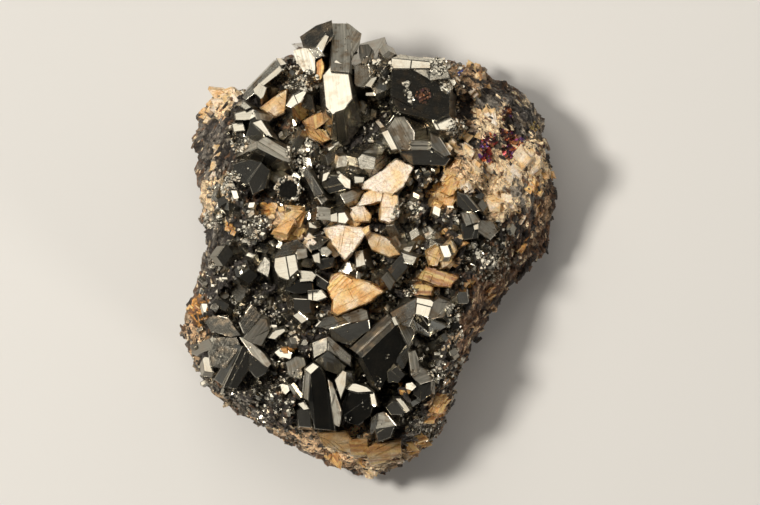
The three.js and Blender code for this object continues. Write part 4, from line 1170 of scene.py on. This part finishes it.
coat = scatter(seed=24, tries=1300, circles=SLOPE, prototypes=DRUSE_CRYSTALS, sizes=(0.18, 0.45),
               lean=0.9, flash=0.3, tones=(0.15, 0.7))
dust = scatter(seed=25, tries=3600, circles=CRUST_CIRCLES, prototypes=DRUSE_CRYSTALS, sizes=(0.1, 0.26),
               lean=0.9, flash=0.35, on_crystals=True, clusters=0.2, tones=(0.1, 0.6))
gather("crystal_druse", nests + coat + dust, TENNANTITE)

# %% [markdown]
# ## Middle-sized crystals with a place of their own
# A few crystals of one to two and a half millimetres radius are recognisable on the specimen, so they are
# listed by place instead of being left to chance. A bright one is turned so that a face looks the shared
# bright way, and gets a pale tone as painted light; the others get a dark tone as painted shade.

# %% Middle-sized crystals with a place of their own
PLACED_CRYSTALS = [
    # x mm, y mm, radius mm, kind, bright, tone: pale on bright ones as painted light, dark on others as
    # painted shade
    (-25.0, -4.4, 2.3, 0, False, 0.3), (-21.8, -5.2, 1.6, 1, False, 0.5), (-29.4, -10.6, 1.3, 3, False, 0.2),
    (-33.0, -11.4, 1.0, 2, True, 1.0), (-28.4, -0.8, 2.3, 3, False, 0.4), (-32.2, -18.4, 2.2, 4, False, 0.4),
    (-32.4, -23.0, 1.7, 2, True, 0.6), (-17.4, -27.6, 1.2, 5, True, 0.9), (-27.0, 11.2, 1.0, 2, True, 1.0),
    (-23.8, 9.2, 0.9, 1, True, 1.0), (-28.6, 9.4, 2.2, 0, False, 0.25), (13.3, 7.9, 1.3, 1, True, 1.0),
    (15.0, -0.2, 1.4, 2, True, 1.0), (7.4, 14.2, 1.0, 0, True, 0.9), (16.4, 33.6, 1.0, 1, True, 0.9),
    (15.0, 32.4, 0.8, 2, True, 0.9), (-7.4, 21.2, 0.9, 3, True, 0.9), (22.5, 8.6, 1.6, 3, False, 0.3),
    (20.5, 11.0, 1.8, 0, False, 0.2), (27.4, 4.6, 1.2, 4, False, 0.4), (21.0, -2.6, 1.2, 3, False, 0.3),
    (15.4, -20.6, 1.2, 3, False, 0.4), (12.8, -19.0, 1.5, 0, False, 0.3),
]
PLACED_POLISH = 0.85


def placed_crystals(rows, seed):
    draw = random.Random(seed)
    placed = []
    # The tone is painted light on the bright crystals and painted shade on the others.
    for x, y, radius, kind, bright, tone in rows:
        found = landing(x, y, True)
        if found is None:
            continue
        prototype = BEVELLED_CRYSTALS[kind]
        turn = turned((found[1] + Vector((0, 0, 1))).normalized(), draw, 0.25)
        if bright:
            largest = max(prototype.polygons, key=lambda face: face.area).normal
            turn = Matrix.Rotation(draw.uniform(0, 6), 3, BRIGHT_WAY) @ largest.rotation_difference(
                BRIGHT_WAY).to_matrix()
        place = Matrix.Translation(found[0]) @ turn.to_4x4() @ Matrix.Scale(radius * MM, 4)
        placed.append((prototype, place, tone, PLACED_POLISH, GREY))
    return placed


gather("placed_crystals", placed_crystals(PLACED_CRYSTALS, 51), TENNANTITE)

# %% [markdown]
# ## Siderite ledges in the rock
# The rock's pale parts aren't grainy everywhere: where siderite split along its cleavage it left small flat
# ledges, cream to orange. Each is a stack of low parallel blocks with slanted sides, set half deep in the
# rock at the places listed above.

# %% Siderite ledges in the rock
BLOCK_SIDES = [
    # direction in degrees, share of the length, share of the width
    (0, 1.0, 0.0), (180, 1.0, 0.0), (75, 0.0, 1.0), (255, 0.0, 1.0), (35, 0.0, 1.4), (215, 0.0, 1.4),
]
LEDGE_EDGE = 0.08 * MM


def cleavage_block(length, width, thick, draw):
    """A low siderite block, long side along x, with slanted sides."""
    cuts = [(Vector((0, 0, 1)), thick / 2), (Vector((0, 0, -1)), thick / 2)]
    for angle, of_length, of_width in BLOCK_SIDES:
        turn = math.radians(angle + draw.uniform(-16, 16))
        way = Vector((math.cos(turn), math.sin(turn), draw.uniform(-0.1, 0.5))).normalized()
        cuts.append((way, (length * of_length + width * of_width) / 2))
    solid = trimmed(cuts, 0.0, 24.0)
    solid.transform(Matrix.Scale(MM, 4))
    bm = bmesh.new()
    bm.from_mesh(solid)
    terraces(bm, draw.randrange(9999), 2.0, 0.2)
    bm.normal_update()
    bevel_long_edges(bm, LEDGE_EDGE)
    bm.to_mesh(solid)
    bm.free()
    return solid


def place_ledges(rows, seed):
    """Each ledge is a stack of parallel blocks, as a crystal that broke along its cleavage leaves."""
    placed = []
    for number, (x, y, length, width, angle, warmth) in enumerate(rows):
        turn = math.radians(angle)
        draw = random.Random(seed * 1000 + number)
        lean = Vector((draw.gauss(0, 0.14), draw.gauss(0, 0.14), 0))
        for part in range(max(4, round(length * width * 0.6))):
            draw = random.Random((seed * 1000 + number) * 100 + part)
            along = draw.uniform(-0.5, 0.5) * length * 0.8
            across = draw.uniform(-0.5, 0.5) * width * 0.8
            spot_x = x + along * math.cos(turn) - across * math.sin(turn)
            spot_y = y + along * math.sin(turn) + across * math.cos(turn)
            found = landing(spot_x, spot_y, True)
            if found is None:
                continue
            up = (found[1] * 0.35 + Vector((0, 0, 1)) + lean).normalized()
            tilt = Vector((0, 0, 1)).rotation_difference(up).to_matrix()
            spin = tilt @ Matrix.Rotation(turn + draw.gauss(0, 0.04), 3, "Z")
            block = cleavage_block(length * draw.uniform(0.2, 0.45), width * draw.uniform(0.35, 0.65),
                                   draw.uniform(0.7, 1.3), draw)
            place = Matrix.Translation(found[0] - up * draw.uniform(0.1, 0.5) * MM) @ spin.to_4x4()
            placed.append((block, place, warmth + draw.uniform(-0.02, 0.2), draw.uniform(0.7, 1.0), TAN))
    return placed


gather("siderite_ledges", place_ledges(LEDGES, 61), SIDERITE)

# %% [markdown]
# ## Rock grains
# The flanks aren't smooth: they are made of splinters about a millimetre long, laid round the specimen as
# the rock is bedded. A layer of stretched chips is scattered there, coloured like the rock below them, with
# some pale and dark ones between.

# %% Rock grains
FLANK_CIRCLES = [
    # x mm, y mm, radius mm, hollow share of the radius
    (-31, 24, 9, 0), (-32, 10, 6, 0), (-33, -2, 5, 0), (-35, -15, 5, 0), (-26, -31, 9, 0), (-10, -40, 8, 0),
    (4, -41, 7, 0), (14, -34, 7, 0), (20, -22, 7, 0), (24, -10, 7, 0), (31, -1, 8, 0), (33, 10, 7, 0),
    (30, 22, 8, 0), (22, 30, 8, 0), (19, 16, 6, 0),
]
ODD_COLOURS = (CREAM, DARK, DARK, BROWN)
ODD_SHARE = 0.22
SPLINTER = (2.3, 0.75, 0.6)


def grain_colour(spot, draw):
    base = Vector(patch_colour(spot))
    other = Vector(draw.choice(ODD_COLOURS))
    return other if draw.random() < ODD_SHARE else base.lerp(other, draw.uniform(0.0, 0.25))


grains = scatter(seed=31, tries=7400, circles=FLANK_CIRCLES, prototypes=CHIPS, sizes=(0.16, 0.5), lean=1.0,
                 sink=0.0, colour_of=grain_colour, stretch=SPLINTER)
gather("rock_grains", grains, ROCK)

# %% [markdown]
# ## The tarnished patch
# One patch on the right shoulder is tarnished sulfide, red, purple and blue. Tarnish is a thin film, so its
# grains keep a metallic shine under the colour. A blue spot, a few brassy grains and a rusty crust on the
# dark crown block are made of the same grains in other colours.

# %% The tarnished patch
TARNISHED = [
    # x mm, y mm, radius mm, hollow share of the radius
    (25.6, 21.4, 3.4, 0), (28.2, 21.5, 2.2, 0), (23.6, 19.8, 2.0, 0), (27.0, 27.5, 1.3, 0),
    (34.0, 21.5, 0.8, 0),
]
FILM_COLOURS = [
    # red, green, blue
    (0.62, 0.17, 0.05), (0.62, 0.3, 0.14), (0.4, 0.07, 0.07), (0.2, 0.09, 0.34), (0.3, 0.06, 0.2),
    (0.05, 0.035, 0.03), (0.08, 0.05, 0.05), (0.16, 0.07, 0.05), (0.04, 0.03, 0.03), (0.5, 0.36, 0.25),
]
TARNISH_BLACK = (0.09, 0.035, 0.05, 1)
BLUE = (0.13, 0.18, 0.55)
BRASS = (0.55, 0.42, 0.16)
RUST_COLOURS = ((0.3, 0.14, 0.07), (0.2, 0.11, 0.07), (0.1, 0.07, 0.05))


def tarnish_finish():
    material, tree, surface = new_finish("tarnished_sulfide")
    place = object_mm(tree)
    film = noise_node(tree, place, 1.6, 3.0)
    colour = blend(tree, remap(tree, film, 0.45, 0.75), attribute(tree, "patch", "Color"), TARNISH_BLACK)
    plug(tree, surface.inputs["Base Color"], colour)
    surface.inputs["Metallic"].default_value = 0.75
    plug(tree, surface.inputs["Roughness"], remap(tree, film, 0.3, 0.7, 0.25, 0.5))
    plug(tree, surface.inputs["Normal"], bump(tree, noise_node(tree, place, 3.5, 3.0), 0.1))
    return material


def film_colour(spot, draw):
    return draw.choice(FILM_COLOURS)


def blue_colour(spot, draw):
    return BLUE


def brass_colour(spot, draw):
    return BRASS


def rust_colour(spot, draw):
    return draw.choice(RUST_COLOURS)


TARNISH = tarnish_finish()
BLUE_CIRCLES = [(18.0, 35.6, 0.6, 0)]
BRASS_CIRCLES = [(32.8, 25.2, 1.2, 0), (36.0, 21.0, 0.6, 0)]
RUST_CIRCLES = [(10.4, 31.2, 1.5, 0)]
tarnished = scatter(seed=41, tries=1500, circles=TARNISHED, prototypes=CHIPS, sizes=(0.2, 0.5), lean=1.0,
                    colour_of=film_colour, clusters=-0.28)
blue_spot = scatter(seed=42, tries=14, circles=BLUE_CIRCLES, prototypes=CHIPS, sizes=(0.3, 0.5), lean=1.0,
                    colour_of=blue_colour)
brassy = scatter(seed=43, tries=22, circles=BRASS_CIRCLES, prototypes=CHIPS, sizes=(0.2, 0.4), lean=1.0,
                 colour_of=brass_colour)
rusty = scatter(seed=44, tries=60, circles=RUST_CIRCLES, prototypes=CHIPS, sizes=(0.15, 0.4), lean=1.0,
                colour_of=rust_colour, on_crystals=True)
gather("tarnished_grains", tarnished + blue_spot + brassy + rusty, TARNISH)
